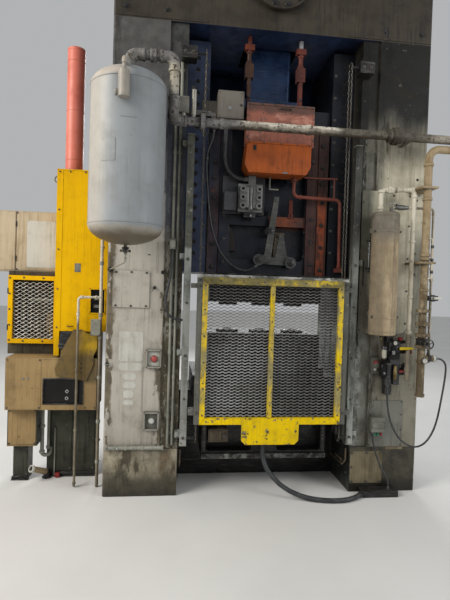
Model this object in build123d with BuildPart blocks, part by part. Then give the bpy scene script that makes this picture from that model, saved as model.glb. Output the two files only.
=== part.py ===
from build123d import *
from math import radians, tan
import os

# Cold forging press: two cast uprights on a bed under a crown, a slide between
# them with a die set, a mesh guard gate in front, the air equipment on the
# uprights and the feeder unit that stands against the left upright.
# Millimetres. +X to the right of a person facing the press, +Y into the press,
# +Z up. The origin is on the floor, under the middle of the bed.

os.makedirs("parts", exist_ok=True)

# ---------------------------------------------------------------- dimensions
HALF_W = 1720.0          # half width over the uprights
BAY = 950.0              # half clear width between the uprights
HALF_D = 650.0           # half depth of the uprights
STRIP = 1140.0           # the inner part of each upright face is set back
STRIP_SET = 25.0
FOOT_H = 500.0           # height of the bed's feet under the uprights
BED_TOP = 1000.0
BED_HALF_D = 560.0
BED_FRONT_W = 690.0      # half width of the bed's front wall
BED_UNDER = 365.0        # underside of that wall
BED_RECESS = 500.0       # how far the space under and beside it goes in
UP_TOP = 4950.0          # top of the uprights, underside of the crown
CROWN_TOP = 6000.0

BOLSTER_TOP = 1250.0
LOWER_HOLDER_TOP = 1710.0
LOWER_DIE_TOP = 1735.0
UPPER_DIE_LOW = 2025.0
UPPER_HOLDER_LOW = 2060.0
SLIDE_LOW = 2380.0
SLIDE_TOP = 4250.0
SLIDE_HALF_W = 690.0
SLIDE_HALF_D = 350.0
GIB_IN = 700.0
GIB_FRONT = 400.0

GATE_Y = -850.0          # front face of the gate
GATE_HALF_W = 745.0
GATE_LOW = 810.0
GATE_TOP = 2322.0
GATE_BAR = 56.0
GATE_THICK = 40.0
EDGE_HALF_W = 800.0
CHAIN_X = 770.0
CHAIN_FRONT = -775.0
CHAIN_R = 40.0
CHAIN_TOP = 4600.0
CHAIN_LOW = 640.0

TANK_X = -1500.0
TANK_Y = -1150.0
TANK_R = 345.0
TANK_LOW = 2762.0
TANK_TOP = 4010.0
HEAD_H = 176.0

PIPE_R = 44.5            # 3 inch pipe
HEADER_Y = -900.0
HEADER_Z = 3850.0
HEADER_END = 1900.0

REC_X = 1171.0
REC_Y = -850.0
REC_R = 141.0
REC_LOW = 1805.0
REC_TOP = 3020.0

HOSE_D = 50.0

# ---------------------------------------------------------------- bed
with BuildPart() as bed:
    with BuildSketch(Plane.XY):
        Rectangle(2 * BAY, 2 * BED_HALF_D)
    extrude(amount=BED_TOP)
    with BuildSketch(Plane.XY):
        with Locations((-(HALF_W + BAY) / 2, 0), ((HALF_W + BAY) / 2, 0)):
            Rectangle(HALF_W - BAY, 2 * HALF_D)
    extrude(amount=FOOT_H)
    chamfer(bed.edges().filter_by(Axis.Z).group_by(Axis.X)[0], 18)
    chamfer(bed.edges().filter_by(Axis.Z).group_by(Axis.X)[-1], 18)
    # open space under the front of the bed, and beside it next to the uprights
    with BuildSketch(Plane.XZ.offset(BED_HALF_D)):
        with Locations((0, BED_UNDER / 2)):
            Rectangle(2 * BAY, BED_UNDER)
        with Locations((-(BAY + BED_FRONT_W) / 2, BED_TOP / 2), ((BAY + BED_FRONT_W) / 2, BED_TOP / 2)):
            Rectangle(BAY - BED_FRONT_W, BED_TOP)
    extrude(amount=-BED_RECESS, mode=Mode.SUBTRACT)
    # two pockets in the front, left and right of a middle web
    with BuildSketch(Plane.XZ.offset(BED_HALF_D)):
        with Locations((-390, 670), (390, 670)):
            RectangleRounded(500, 460, 30)
    extrude(amount=-150, mode=Mode.SUBTRACT)
    # cross rail on the front, under the pockets
    with BuildSketch(Plane.XZ.offset(BED_HALF_D)):
        with Locations((0, 390)):
            Rectangle(2 * BED_FRONT_W, 50)
    extrude(amount=30)
    # hose outlet lug on the middle web
    with BuildSketch(Plane.XZ.offset(BED_HALF_D)):
        with Locations((-35, 615)):
            Rectangle(90, 70)
    extrude(amount=130)
    with BuildSketch(Plane.XY.offset(580)):
        with Locations((-35, -650)):
            Circle(34)
    extrude(amount=-30)
bed.part.label = "bed"
export_step(bed.part, "parts/bed.step")

# ---------------------------------------------------------------- uprights
with BuildPart() as left_upright:
    with BuildSketch(Plane.XY.offset(FOOT_H)):
        with BuildLine():
            Polyline(
                (-HALF_W, -HALF_D), (-STRIP, -HALF_D), (-STRIP, -HALF_D + STRIP_SET),
                (-BAY, -HALF_D + STRIP_SET), (-BAY, HALF_D - STRIP_SET),
                (-STRIP, HALF_D - STRIP_SET), (-STRIP, HALF_D), (-HALF_W, HALF_D),
                close=True,
            )
        make_face()
    extrude(amount=UP_TOP - FOOT_H)
    chamfer(left_upright.edges().filter_by(Axis.Z).group_by(Axis.X)[0], 18)
left_upright.part.label = "left_upright"
export_step(left_upright.part, "parts/left_upright.step")

with BuildPart() as right_upright:
    with BuildSketch(Plane.XY.offset(FOOT_H)):
        with BuildLine():
            Polyline(
                (HALF_W, -HALF_D), (STRIP, -HALF_D), (STRIP, -HALF_D + STRIP_SET),
                (BAY, -HALF_D + STRIP_SET), (BAY, HALF_D - STRIP_SET),
                (STRIP, HALF_D - STRIP_SET), (STRIP, HALF_D), (HALF_W, HALF_D),
                close=True,
            )
        make_face()
    extrude(amount=UP_TOP - FOOT_H)
    chamfer(right_upright.edges().filter_by(Axis.Z).group_by(Axis.X)[-1], 18)
right_upright.part.label = "right_upright"
export_step(right_upright.part, "parts/right_upright.step")

# ---------------------------------------------------------------- crown
with BuildPart() as crown:
    with BuildSketch(Plane.XY.offset(UP_TOP)):
        Rectangle(2 * HALF_W, 2 * HALF_D)
    extrude(amount=CROWN_TOP - UP_TOP)
    chamfer(crown.edges().filter_by(Axis.Z), 18)
    chamfer(crown.faces().sort_by(Axis.Z)[-1].edges(), 30)
    # pocket that the connecting rod runs in
    with BuildSketch(Plane.XY.offset(UP_TOP)):
        Rectangle(620, 520)
    extrude(amount=650, mode=Mode.SUBTRACT)
    # apron that closes the back of the bay, over the slide
    with BuildSketch(Plane.XY.offset(UP_TOP)):
        with Locations((0, 590)):
            Rectangle(2 * BAY - 4, 50)
    extrude(amount=-550)
    # main bearing boss on the front
    with BuildSketch(Plane.XZ.offset(HALF_D)):
        with Locations((0, 5480)):
            Circle(330)
    extrude(amount=60)
crown.part.label = "crown"
export_step(crown.part, "parts/crown.step")

with BuildPart() as tie_rod_nuts:
    with BuildSketch(Plane.XY.offset(CROWN_TOP)):
        with Locations((-1335, -400), (-1335, 400), (1335, -400), (1335, 400)):
            RegularPolygon(165, 6)
    extrude(amount=150)
    with BuildSketch(Plane.XY.offset(CROWN_TOP + 150)):
        with Locations((-1335, -400), (-1335, 400), (1335, -400), (1335, 400)):
            Circle(100)
    extrude(amount=70)
tie_rod_nuts.part.label = "tie_rod_nuts"
export_step(tie_rod_nuts.part, "parts/tie_rod_nuts.step")

# flywheel and drive belt housing on the back of the crown
with BuildPart() as flywheel_guard:
    with BuildSketch(Plane.XZ.offset(-HALF_D)):
        with Locations((0, 5250)):
            Circle(820)
        with Locations((760, 6290)):
            Circle(200)
        make_hull()
    extrude(amount=-340)
    fillet(flywheel_guard.faces().sort_by(Axis.Y)[-1].edges(), 30)
flywheel_guard.part.label = "flywheel_guard"
export_step(flywheel_guard.part, "parts/flywheel_guard.step")

with BuildPart() as drive_motor:
    with BuildSketch(Plane.XZ.offset(-HALF_D)):
        with Locations((760, 6290)):
            Circle(215)
    extrude(amount=700)
    fillet(drive_motor.faces().sort_by(Axis.Y)[0].edges(), 25)
    with BuildSketch(Plane.XY.offset(CROWN_TOP)):
        with Locations((760, 300)):
            Rectangle(400, 480)
    extrude(amount=110)
    with BuildSketch(Plane.XZ.offset(-HALF_D + 200)):
        with Locations((1005, 6290)):
            Rectangle(110, 170)
    extrude(amount=240)
drive_motor.part.label = "drive_motor"
export_step(drive_motor.part, "parts/drive_motor.step")

# ---------------------------------------------------------------- die area
with BuildPart() as bolster:
    with BuildSketch(Plane.XY.offset(BED_TOP)):
        Rectangle(1600, 1000)
    extrude(amount=BOLSTER_TOP - BED_TOP)
    with BuildSketch(Plane.XZ.offset(500)):
        with Locations((-500, BOLSTER_TOP - 30), (0, BOLSTER_TOP - 30), (500, BOLSTER_TOP - 30)):
            Rectangle(36, 60)
        with Locations((-500, BOLSTER_TOP - 75), (0, BOLSTER_TOP - 75), (500, BOLSTER_TOP - 75)):
            Rectangle(64, 36)
    extrude(amount=-90, mode=Mode.SUBTRACT)
bolster.part.label = "bolster"
export_step(bolster.part, "parts/bolster.step")

with BuildPart() as lower_die_holder:
    with BuildSketch(Plane.XY.offset(BOLSTER_TOP)):
        Rectangle(1380, 860)
    extrude(amount=90)
    with BuildSketch(Plane.XY.offset(BOLSTER_TOP + 90)):
        Rectangle(1280, 780)
    extrude(amount=LOWER_HOLDER_TOP - BOLSTER_TOP - 90)
lower_die_holder.part.label = "lower_die_holder"
export_step(lower_die_holder.part, "parts/lower_die_holder.step")

with BuildPart() as lower_dies:
    with BuildSketch(Plane.XY.offset(LOWER_HOLDER_TOP)):
        with Locations((-390, -100), (0, -100), (390, -100)):
            Circle(130)
    extrude(amount=LOWER_DIE_TOP - LOWER_HOLDER_TOP)
    with Locations((-390, -100, LOWER_DIE_TOP), (0, -100, LOWER_DIE_TOP), (390, -100, LOWER_DIE_TOP)):
        Hole(45, depth=20)
lower_dies.part.label = "lower_dies"
export_step(lower_dies.part, "parts/lower_dies.step")

# ---------------------------------------------------------------- slide
with BuildPart() as slide:
    with BuildSketch(Plane.XY.offset(SLIDE_LOW)):
        Rectangle(2 * SLIDE_HALF_W, 2 * SLIDE_HALF_D)
    extrude(amount=SLIDE_TOP - SLIDE_LOW)
    # deep front bay between the two guide columns
    with BuildSketch(Plane.XZ.offset(SLIDE_HALF_D)):
        with Locations((0, 3310)):
            RectangleRounded(860, 1540, 60)
    extrude(amount=-130, mode=Mode.SUBTRACT)
    # cross bar in the bay
    with BuildSketch(Plane.XZ.offset(SLIDE_HALF_D)):
        with Locations((0, 2985)):
            Rectangle(880, 110)
    extrude(amount=-135)
slide.part.label = "slide"
export_step(slide.part, "parts/slide.step")

with BuildPart() as slide_strips:
    with BuildSketch(Plane.XZ.offset(SLIDE_HALF_D)):
        with Locations((-560, 3190), (560, 3190)):
            Rectangle(240, 1620)
    extrude(amount=35)
    with BuildSketch(Plane.XZ.offset(SLIDE_HALF_D + 35)):
        with Locations((-560, 3190), (560, 3190)):
            Rectangle(14, 1620)
    extrude(amount=-12, mode=Mode.SUBTRACT)
    # clamp of the slide hose
    with BuildSketch(Plane.XZ.offset(SLIDE_HALF_D + 35)):
        with Locations((-645, 3970)):
            Rectangle(64, 60)
    extrude(amount=85)
slide_strips.part.label = "slide_strips"
export_step(slide_strips.part, "parts/slide_strips.step")

with BuildPart() as upper_die_holder:
    with BuildSketch(Plane.XY.offset(UPPER_HOLDER_LOW)):
        Rectangle(1280, 780)
    extrude(amount=SLIDE_LOW - UPPER_HOLDER_LOW - 80)
    with BuildSketch(Plane.XY.offset(SLIDE_LOW - 80)):
        Rectangle(1360, 840)
    extrude(amount=80)
upper_die_holder.part.label = "upper_die_holder"
export_step(upper_die_holder.part, "parts/upper_die_holder.step")

with BuildPart() as upper_dies:
    with BuildSketch(Plane.XY.offset(UPPER_HOLDER_LOW)):
        with Locations((-390, -100), (0, -100), (390, -100)):
            Circle(110)
    extrude(amount=UPPER_DIE_LOW - UPPER_HOLDER_LOW)
upper_dies.part.label = "upper_dies"
export_step(upper_dies.part, "parts/upper_dies.step")

with BuildPart() as connecting_rod:
    with BuildSketch(Plane.XY.offset(SLIDE_TOP)):
        RectangleRounded(500, 400, 40)
    extrude(amount=1040)
    with BuildSketch(Plane.XY.offset(SLIDE_TOP)):
        RectangleRounded(700, 520, 40)
    extrude(amount=120)
connecting_rod.part.label = "connecting_rod"
export_step(connecting_rod.part, "parts/connecting_rod.step")

# ejector lever and its links on the front of the slide
with BuildPart() as ejector_lever:
    with BuildSketch(Plane.XZ.offset(455)):
        with BuildLine():
            Polyline(
                (40, 3235), (95, 3235), (20, 2520), (-90, 2500), (-100, 2560), (-52, 2600),
                close=True,
            )
        make_face()
    extrude(amount=45)
    with BuildSketch(Plane.XZ.offset(220)):
        with Locations((8, 2860)):
            Circle(48)
    extrude(amount=235)
    with BuildSketch(Plane.XZ.offset(430)):
        with BuildLine():
            Polyline(
                (-150, 2500), (300, 2480), (300, 2545), (210, 2600), (170, 2810), (120, 2810),
                (75, 2570), (-150, 2575), close=True,
            )
        make_face()
    extrude(amount=25)
    with BuildSketch(Plane.XZ.offset(455)):
        with Locations((250, 2515), (-110, 2540)):
            Circle(62)
    extrude(amount=30)
    # hose nipple under the left disc
    with BuildSketch(Plane(origin=(-150, -470, 2458), z_dir=(55, 0, 38))):
        Circle(14)
    extrude(amount=55)
ejector_lever.part.label = "ejector_lever"
export_step(ejector_lever.part, "parts/ejector_lever.step")

with BuildPart() as slide_gibs:
    with BuildSketch(Plane.XY.offset(SLIDE_LOW)):
        with Locations((-(BAY + GIB_IN) / 2, 0), ((BAY + GIB_IN) / 2, 0)):
            Rectangle(BAY - GIB_IN, 2 * GIB_FRONT)
    extrude(amount=4900 - SLIDE_LOW)
    # row of adjusting screw holes down each front face
    with Locations(Plane.XZ.offset(GIB_FRONT)):
        with Locations((-835, 3650), (835, 3650)):
            with GridLocations(0, 125, 1, 18):
                Hole(26, depth=45)
slide_gibs.part.label = "slide_gibs"
export_step(slide_gibs.part, "parts/slide_gibs.step")

# ---------------------------------------------------------------- hoods
with BuildPart() as hood_upper:
    with BuildSketch(Plane.XZ.offset(395)):
        with Locations((70, 4000)):
            Rectangle(748, 440)
    extrude(amount=165)
    fillet(hood_upper.edges().filter_by(Axis.Y), 12)
hood_upper.part.label = "hood_upper"
export_step(hood_upper.part, "parts/hood_upper.step")

with BuildPart() as hood_lower:
    with BuildSketch(Plane.XZ.offset(395)):
        with BuildLine():
            Polyline(
                (-300, 3780), (398, 3780), (396, 3540), (350, 3455), (-280, 3455), (-326, 3540),
                close=True,
            )
        make_face()
    extrude(amount=245)
    fillet(hood_lower.edges().filter_by(Axis.Y), 22)
hood_lower.part.label = "hood_lower"
export_step(hood_lower.part, "parts/hood_lower.step")

with BuildPart() as hood_links:
    with BuildSketch(Plane.XY.offset(4220)):
        with Locations((-285, -480), (290, -480)):
            Rectangle(36, 70)
    extrude(amount=330)
    with BuildSketch(Plane.XY.offset(4500)):
        with Locations((-285, -480), (290, -480)):
            Rectangle(88, 80)
    extrude(amount=150)
    with BuildSketch(Plane.XY.offset(4650)):
        with Locations((-285, -480), (290, -480)):
            Circle(24)
    extrude(amount=UP_TOP - 4650)
    with BuildSketch(Plane.XY.offset(4800)):
        with Locations((-285, -480), (290, -480)):
            Rectangle(104, 64)
    extrude(amount=60)
hood_links.part.label = "hood_links"
export_step(hood_links.part, "parts/hood_links.step")

with BuildPart() as control_box:
    with BuildSketch(Plane.XZ.offset(400)):
        with Locations((-620, 4180)):
            Rectangle(320, 160)
    extrude(amount=10)
    with BuildSketch(Plane.XZ.offset(410)):
        with Locations((-479, 4180)):
            Rectangle(280, 291)
    extrude(amount=150)
    fillet(control_box.edges().filter_by(Axis.Y), 6)
control_box.part.label = "control_box"
export_step(control_box.part, "parts/control_box.step")

with BuildPart() as valve_block:
    with BuildSketch(Plane.XZ.offset(398)):
        with Locations((-290, 3247.5)):
            Rectangle(470, 415)
    extrude(amount=12)
    with BuildSketch(Plane.XZ.offset(410)):
        with Locations((-232, 3202)):
            Rectangle(268, 300)
    extrude(amount=110)
    with BuildSketch(Plane.XZ.offset(520)):
        with Locations((-305, 3262), (-160, 3262), (-305, 3142), (-160, 3142)):
            Rectangle(110, 104)
    extrude(amount=40)
    with BuildSketch(Plane.XZ.offset(410)):
        with Locations((-450, 3166)):
            Rectangle(140, 200)
    extrude(amount=90)
    # hose inlet on top
    with BuildSketch(Plane.XY.offset(3352)):
        with Locations((-215, -475)):
            Rectangle(80, 74)
    extrude(amount=96)
valve_block.part.label = "valve_block"
export_step(valve_block.part, "parts/valve_block.step")

# air line from the hood to the right hand gib
with BuildPart() as hood_pipe:
    with BuildLine() as hood_pipe_path:
        FilletPolyline((262, -470, 3455), (262, -470, 3255), (800, -470, 3240), (812, -470, 2470), radius=60)
    with BuildSketch(Plane(origin=(262, -470, 3455), z_dir=(0, 0, -1))):
        Circle(19)
    sweep(path=hood_pipe_path.wires()[0])
    with BuildSketch(Plane.XY.offset(2430)):
        with Locations((812, -455)):
            Rectangle(70, 110)
    extrude(amount=45)
hood_pipe.part.label = "hood_pipe"
export_step(hood_pipe.part, "parts/hood_pipe.step")

# ---------------------------------------------------------------- guard gate
with BuildPart() as gate_frame:
    with BuildSketch(Plane.XZ.offset(-GATE_Y)):
        with BuildLine():
            Polyline(
                (-GATE_HALF_W, GATE_LOW), (-GATE_HALF_W, GATE_TOP), (GATE_HALF_W, GATE_TOP),
                (GATE_HALF_W, GATE_LOW), close=True,
            )
        make_face()
        with Locations((-351.5, 1565), (337.5, 1565)):
            pass
        with BuildLine():
            Polyline((-689, 880), (-40, 880), (-40, 2250), (-689, 2250), close=True)
        make_face(mode=Mode.SUBTRACT)
        with BuildLine():
            Polyline((8, 880), (689, 880), (689, 2250), (8, 2250), close=True)
        make_face(mode=Mode.SUBTRACT)
    extrude(amount=-GATE_THICK)
    with BuildSketch(Plane.XZ.offset(-GATE_Y)):
        with BuildLine():
            Polyline(
                (-303, GATE_LOW + 20), (303, GATE_LOW + 20), (303, 642), (261, 600), (-261, 600),
                (-303, 642), close=True,
            )
        make_face()
    extrude(amount=-12)
gate_frame.part.label = "gate_frame"
export_step(gate_frame.part, "parts/gate_frame.step")

with BuildPart() as gate_mesh:
    with BuildSketch(Plane.XZ.offset(-GATE_Y - GATE_THICK)):
        with Locations((0, 1566)):
            Rectangle(1440, 1430)
    extrude(amount=-5)
gate_mesh.part.label = "gate_mesh"
export_step(gate_mesh.part, "parts/gate_mesh.step")

# grey angle round the sides and top, with the guide shoes and chain lugs
with BuildPart() as gate_angle:
    with BuildSketch(Plane.XZ.offset(-GATE_Y - 5)):
        with Locations((-(GATE_HALF_W + EDGE_HALF_W) / 2, 1580), ((GATE_HALF_W + EDGE_HALF_W) / 2, 1580)):
            Rectangle(EDGE_HALF_W - GATE_HALF_W, 1540)
        with Locations((0, 2336)):
            Rectangle(2 * EDGE_HALF_W, 28)
    extrude(amount=-50)
    with BuildSketch(Plane.XZ.offset(795)):
        with Locations((-CHAIN_X, 2310), (CHAIN_X, 2310)):
            Rectangle(44, 60)
    extrude(amount=-8)
    with BuildSketch(Plane.XZ.offset(835)):
        with Locations((-829, 930), (829, 930), (-829, 2230), (829, 2230)):
            Rectangle(58, 50)
    extrude(amount=-145)
gate_angle.part.label = "gate_angle"
export_step(gate_angle.part, "parts/gate_angle.step")

with BuildPart() as gate_posts:
    with BuildSketch(Plane.XY.offset(560)):
        with Locations((-900, -700), (900, -700)):
            Rectangle(70, 80)
    extrude(amount=3780 - 560)
    for post_z in (640, 1500, 2500, 3660):
        with BuildSketch(Plane.XY.offset(post_z)):
            with Locations((-960, -672.5), (960, -672.5)):
                Rectangle(50, 95)
        extrude(amount=60)
gate_posts.part.label = "gate_posts"
export_step(gate_posts.part, "parts/gate_posts.step")

# lifting chains, one fixed loop each side
with BuildPart() as gate_chains:
    with BuildSketch(Plane.YZ.offset(CHAIN_X - 6)):
        with Locations((CHAIN_FRONT + CHAIN_R, (CHAIN_TOP + CHAIN_LOW) / 2)):
            SlotCenterToCenter(CHAIN_TOP - CHAIN_LOW, 2 * CHAIN_R + 12, rotation=90)
            SlotCenterToCenter(CHAIN_TOP - CHAIN_LOW, 2 * CHAIN_R - 12, rotation=90, mode=Mode.SUBTRACT)
    extrude(amount=12)
    with BuildSketch(Plane.YZ.offset(-CHAIN_X - 6)):
        with Locations((CHAIN_FRONT + CHAIN_R, (CHAIN_TOP + CHAIN_LOW) / 2)):
            SlotCenterToCenter(CHAIN_TOP - CHAIN_LOW, 2 * CHAIN_R + 12, rotation=90)
            SlotCenterToCenter(CHAIN_TOP - CHAIN_LOW, 2 * CHAIN_R - 12, rotation=90, mode=Mode.SUBTRACT)
    extrude(amount=12)
gate_chains.part.label = "gate_chains"
export_step(gate_chains.part, "parts/gate_chains.step")

with BuildPart() as gate_sheaves:
    with BuildSketch(Plane.YZ.offset(CHAIN_X - 6)):
        with Locations((CHAIN_FRONT + CHAIN_R, CHAIN_TOP), (CHAIN_FRONT + CHAIN_R, CHAIN_LOW)):
            Circle(CHAIN_R - 6.3)
    extrude(amount=12)
    with BuildSketch(Plane.YZ.offset(CHAIN_X + 6)):
        with Locations((CHAIN_FRONT + CHAIN_R, CHAIN_TOP), (CHAIN_FRONT + CHAIN_R, CHAIN_LOW)):
            Circle(12)
    extrude(amount=89)
    with BuildSketch(Plane.XY.offset(CHAIN_TOP - 60)):
        with Locations((942.5, -697.5)):
            Rectangle(155, 145)
    extrude(amount=120)
    mirror(about=Plane.YZ)
gate_sheaves.part.label = "gate_sheaves"
export_step(gate_sheaves.part, "parts/gate_sheaves.step")

# ---------------------------------------------------------------- left upright front
with BuildPart() as access_cover:
    with BuildSketch(Plane.XZ.offset(HALF_D)):
        with Locations((-1475, 2173)):
            RectangleRounded(377, 382, 14)
    extrude(amount=12)
access_cover.part.label = "access_cover"
export_step(access_cover.part, "parts/access_cover.step")

with BuildPart() as left_conduits:
    with BuildSketch(Plane.YZ.offset(-1700)):
        with Locations((-675, 520)):
            Circle(20)
    extrude(amount=600)
    with BuildSketch(Plane.XY.offset(540)):
        with Locations((-1010, -641), (-1060, -641)):
            Circle(15)
    extrude(amount=4000)
    for clip_x in (-1640, -1400, -1160):
        with BuildSketch(Plane.YZ.offset(clip_x)):
            with Locations((-662, 520)):
                Rectangle(24, 56)
        extrude(amount=20)
    for clip_z in (900, 1800, 2700, 3600, 4450):
        with BuildSketch(Plane.XY.offset(clip_z)):
            with Locations((-1035, -633)):
                Rectangle(100, 16)
        extrude(amount=24)
    # outlet box of the hanging hose
    with BuildSketch(Plane.XY.offset(2600)):
        with Locations((-1062, -690)):
            Rectangle(62, 74)
    extrude(amount=96)
left_conduits.part.label = "left_conduits"
export_step(left_conduits.part, "parts/left_conduits.step")

# ---------------------------------------------------------------- surge tank
with BuildPart() as surge_tank_shell:
    with BuildSketch(Plane.XY.offset(TANK_LOW)):
        with Locations((TANK_X, TANK_Y)):
            Circle(TANK_R)
            Circle(TANK_R - 10, mode=Mode.SUBTRACT)
    extrude(amount=TANK_TOP - TANK_LOW)
surge_tank_shell.part.label = "surge_tank_shell"
export_step(surge_tank_shell.part, "parts/surge_tank_shell.step")

with BuildPart() as surge_tank_heads:
    with BuildSketch(Plane(origin=(TANK_X, TANK_Y, TANK_TOP), x_dir=(1, 0, 0), z_dir=(0, 1, 0))):
        Ellipse(TANK_R, HEAD_H)
        Ellipse(TANK_R - 10, HEAD_H - 10, mode=Mode.SUBTRACT)
        with Locations((200, -100)):
            Rectangle(400, 200, mode=Mode.INTERSECT)
    revolve(axis=Axis((TANK_X, TANK_Y, 0), (0, 0, 1)))
    with BuildSketch(Plane(origin=(TANK_X, TANK_Y, TANK_LOW), x_dir=(1, 0, 0), z_dir=(0, -1, 0))):
        Ellipse(TANK_R, HEAD_H)
        Ellipse(TANK_R - 10, HEAD_H - 10, mode=Mode.SUBTRACT)
        with Locations((200, -100)):
            Rectangle(400, 200, mode=Mode.INTERSECT)
    revolve(axis=Axis((TANK_X, TANK_Y, 0), (0, 0, 1)))
    # drain nipple under the middle
    with BuildSketch(Plane.XY.offset(TANK_LOW - HEAD_H + 4)):
        with Locations((TANK_X, TANK_Y)):
            Circle(17)
    extrude(amount=-60)
surge_tank_heads.part.label = "surge_tank_heads"
export_step(surge_tank_heads.part, "parts/surge_tank_heads.step")

# saddles of the surge tank and of the air receiver
with BuildPart() as tank_brackets:
    for arm_z in (2900, 3860):
        with BuildSketch(Plane.XY.offset(arm_z)):
            with Locations((TANK_X, -770)):
                Rectangle(420, 240)
            with Locations((TANK_X, TANK_Y)):
                Circle(TANK_R + 0.5, mode=Mode.SUBTRACT)
        extrude(amount=60)
    for arm_z in (1960, 2860):
        with BuildSketch(Plane.XY.offset(arm_z)):
            with Locations((REC_X, -720)):
                Rectangle(190, 140)
            with Locations((REC_X, REC_Y)):
                Circle(REC_R + 0.5, mode=Mode.SUBTRACT)
        extrude(amount=50)
tank_brackets.part.label = "tank_brackets"
export_step(tank_brackets.part, "parts/tank_brackets.step")

# relief valve in front of the tank, its inlet pipe bent back into the top head
with BuildPart() as relief_valve:
    with BuildSketch(Plane.XY.offset(3790)):
        with Locations((-1510, TANK_Y - TANK_R - 58)):
            Circle(48)
    extrude(amount=222)
    with BuildLine() as inlet_path:
        FilletPolyline(
            (-1510, TANK_Y - TANK_R - 58, 4000), (-1510, TANK_Y - TANK_R - 58, 4118), (-1510, TANK_Y - 230, 4118),
            radius=32,
        )
    with BuildSketch(Plane(origin=(-1510, TANK_Y - TANK_R - 58, 4000), z_dir=(0, 0, 1))):
        Circle(17)
    sweep(path=inlet_path.wires()[0])
    # side outlet at the foot of the body
    with BuildSketch(Plane(origin=(-1540, TANK_Y - TANK_R - 58, 3826), x_dir=(0, 1, 0), z_dir=(-1, 0, 0))):
        Circle(24)
    extrude(amount=44)
    # the inlet ends on the curve of the head
    with BuildSketch(Plane(origin=(TANK_X, TANK_Y, TANK_TOP), x_dir=(1, 0, 0), z_dir=(0, 1, 0))):
        Ellipse(TANK_R + 0.5, HEAD_H + 0.5)
        with Locations((200, -100)):
            Rectangle(400, 200, mode=Mode.INTERSECT)
    revolve(axis=Axis((TANK_X, TANK_Y, 0), (0, 0, 1)), mode=Mode.SUBTRACT)
relief_valve.part.label = "relief_valve"
export_step(relief_valve.part, "parts/relief_valve.step")

with BuildPart() as surge_pipe:
    with BuildLine() as surge_path:
        FilletPolyline(
            (TANK_X, TANK_Y, TANK_TOP + HEAD_H), (TANK_X, TANK_Y, 4342),
            (-1090, TANK_Y, 4342), (-1090, TANK_Y, HEADER_Z), (-1090, HEADER_Y, HEADER_Z), (-860, HEADER_Y, HEADER_Z),
            radius=105,
        )
    with BuildSketch(Plane(origin=(TANK_X, TANK_Y, TANK_TOP + HEAD_H), z_dir=(0, 0, 1))):
        Circle(PIPE_R)
    sweep(path=surge_path.wires()[0])
surge_pipe.part.label = "surge_pipe"
export_step(surge_pipe.part, "parts/surge_pipe.step")

# ---------------------------------------------------------------- header pipe
with BuildPart() as header_pipe:
    with BuildSketch(Plane.YZ.offset(-860)):
        with Locations((HEADER_Y, HEADER_Z)):
            Circle(PIPE_R)
    extrude(amount=HEADER_END + 860)
    with BuildSketch(Plane.YZ.offset(-822)):
        with Locations((HEADER_Y, HEADER_Z)):
            Circle(88)
    extrude(amount=44)
    with BuildSketch(Plane.YZ.offset(1140)):
        with Locations((HEADER_Y, HEADER_Z)):
            RegularPolygon(72, 8)
    extrude(amount=140)
    with BuildSketch(Plane.YZ.offset(1180)):
        with Locations((HEADER_Y, HEADER_Z)):
            Circle(86)
    extrude(amount=60)
    # hanger bars to the uprights
    with BuildSketch(Plane.XZ.offset(HALF_D)):
        with Locations((1400, HEADER_Z)):
            Rectangle(50, 50)
    extrude(amount=230)
    with BuildSketch(Plane.XZ.offset(HALF_D - STRIP_SET)):
        with Locations((-969, 3950)):
            Rectangle(38, 50)
    extrude(amount=255)
    with BuildSketch(Plane.XZ.offset(850)):
        with Locations((-825, 3950)):
            Rectangle(320, 50)
    extrude(amount=30)
    with BuildSketch(Plane.XZ.offset(850)):
        with Locations((-690, 3910)):
            Rectangle(50, 80)
    extrude(amount=30)
header_pipe.part.label = "header_pipe"
export_step(header_pipe.part, "parts/header_pipe.step")

# ---------------------------------------------------------------- air receiver, right
with BuildPart() as receiver_shell:
    with BuildSketch(Plane.XY.offset(REC_LOW)):
        with Locations((REC_X, REC_Y)):
            Circle(REC_R)
            Circle(REC_R - 8, mode=Mode.SUBTRACT)
    extrude(amount=REC_TOP - REC_LOW)
receiver_shell.part.label = "receiver_shell"
export_step(receiver_shell.part, "parts/receiver_shell.step")

with BuildPart() as receiver_heads:
    with BuildSketch(Plane.XY.offset(REC_TOP)):
        with Locations((REC_X, REC_Y)):
            Circle(REC_R)
    extrude(amount=42)
    fillet(receiver_heads.faces().sort_by(Axis.Z)[-1].edges(), 25)
    with BuildSketch(Plane.XY.offset(REC_LOW)):
        with Locations((REC_X, REC_Y)):
            Circle(REC_R)
    extrude(amount=-38)
    fillet(receiver_heads.faces().sort_by(Axis.Z)[0].edges(), 18)
receiver_heads.part.label = "receiver_heads"
export_step(receiver_heads.part, "parts/receiver_heads.step")

with BuildPart() as receiver_pipes:
    with BuildLine() as rec_path:
        FilletPolyline((1108, REC_Y, REC_TOP + 42), (1108, REC_Y, 3300), (1480, REC_Y, 3318), (1475, REC_Y, 1300), radius=55)
    with BuildSketch(Plane(origin=(1108, REC_Y, REC_TOP + 42), z_dir=(0, 0, 1))):
        Circle(24)
    sweep(path=rec_path.wires()[0])
    with BuildSketch(Plane.YZ.offset(1175)):
        with Locations((REC_Y, 3303)):
            RegularPolygon(38, 6)
    extrude(amount=70)
    with BuildLine() as svc_path:
        FilletPolyline((1240, -834, REC_TOP + 42), (1240, -834, 3128), (1712, -834, 3130), (1722, -834, 1560), radius=32)
    with BuildSketch(Plane(origin=(1240, -834, REC_TOP + 42), z_dir=(0, 0, 1))):
        Circle(13.5)
    sweep(path=svc_path.wires()[0])
receiver_pipes.part.label = "receiver_pipes"
export_step(receiver_pipes.part, "parts/receiver_pipes.step")

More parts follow.
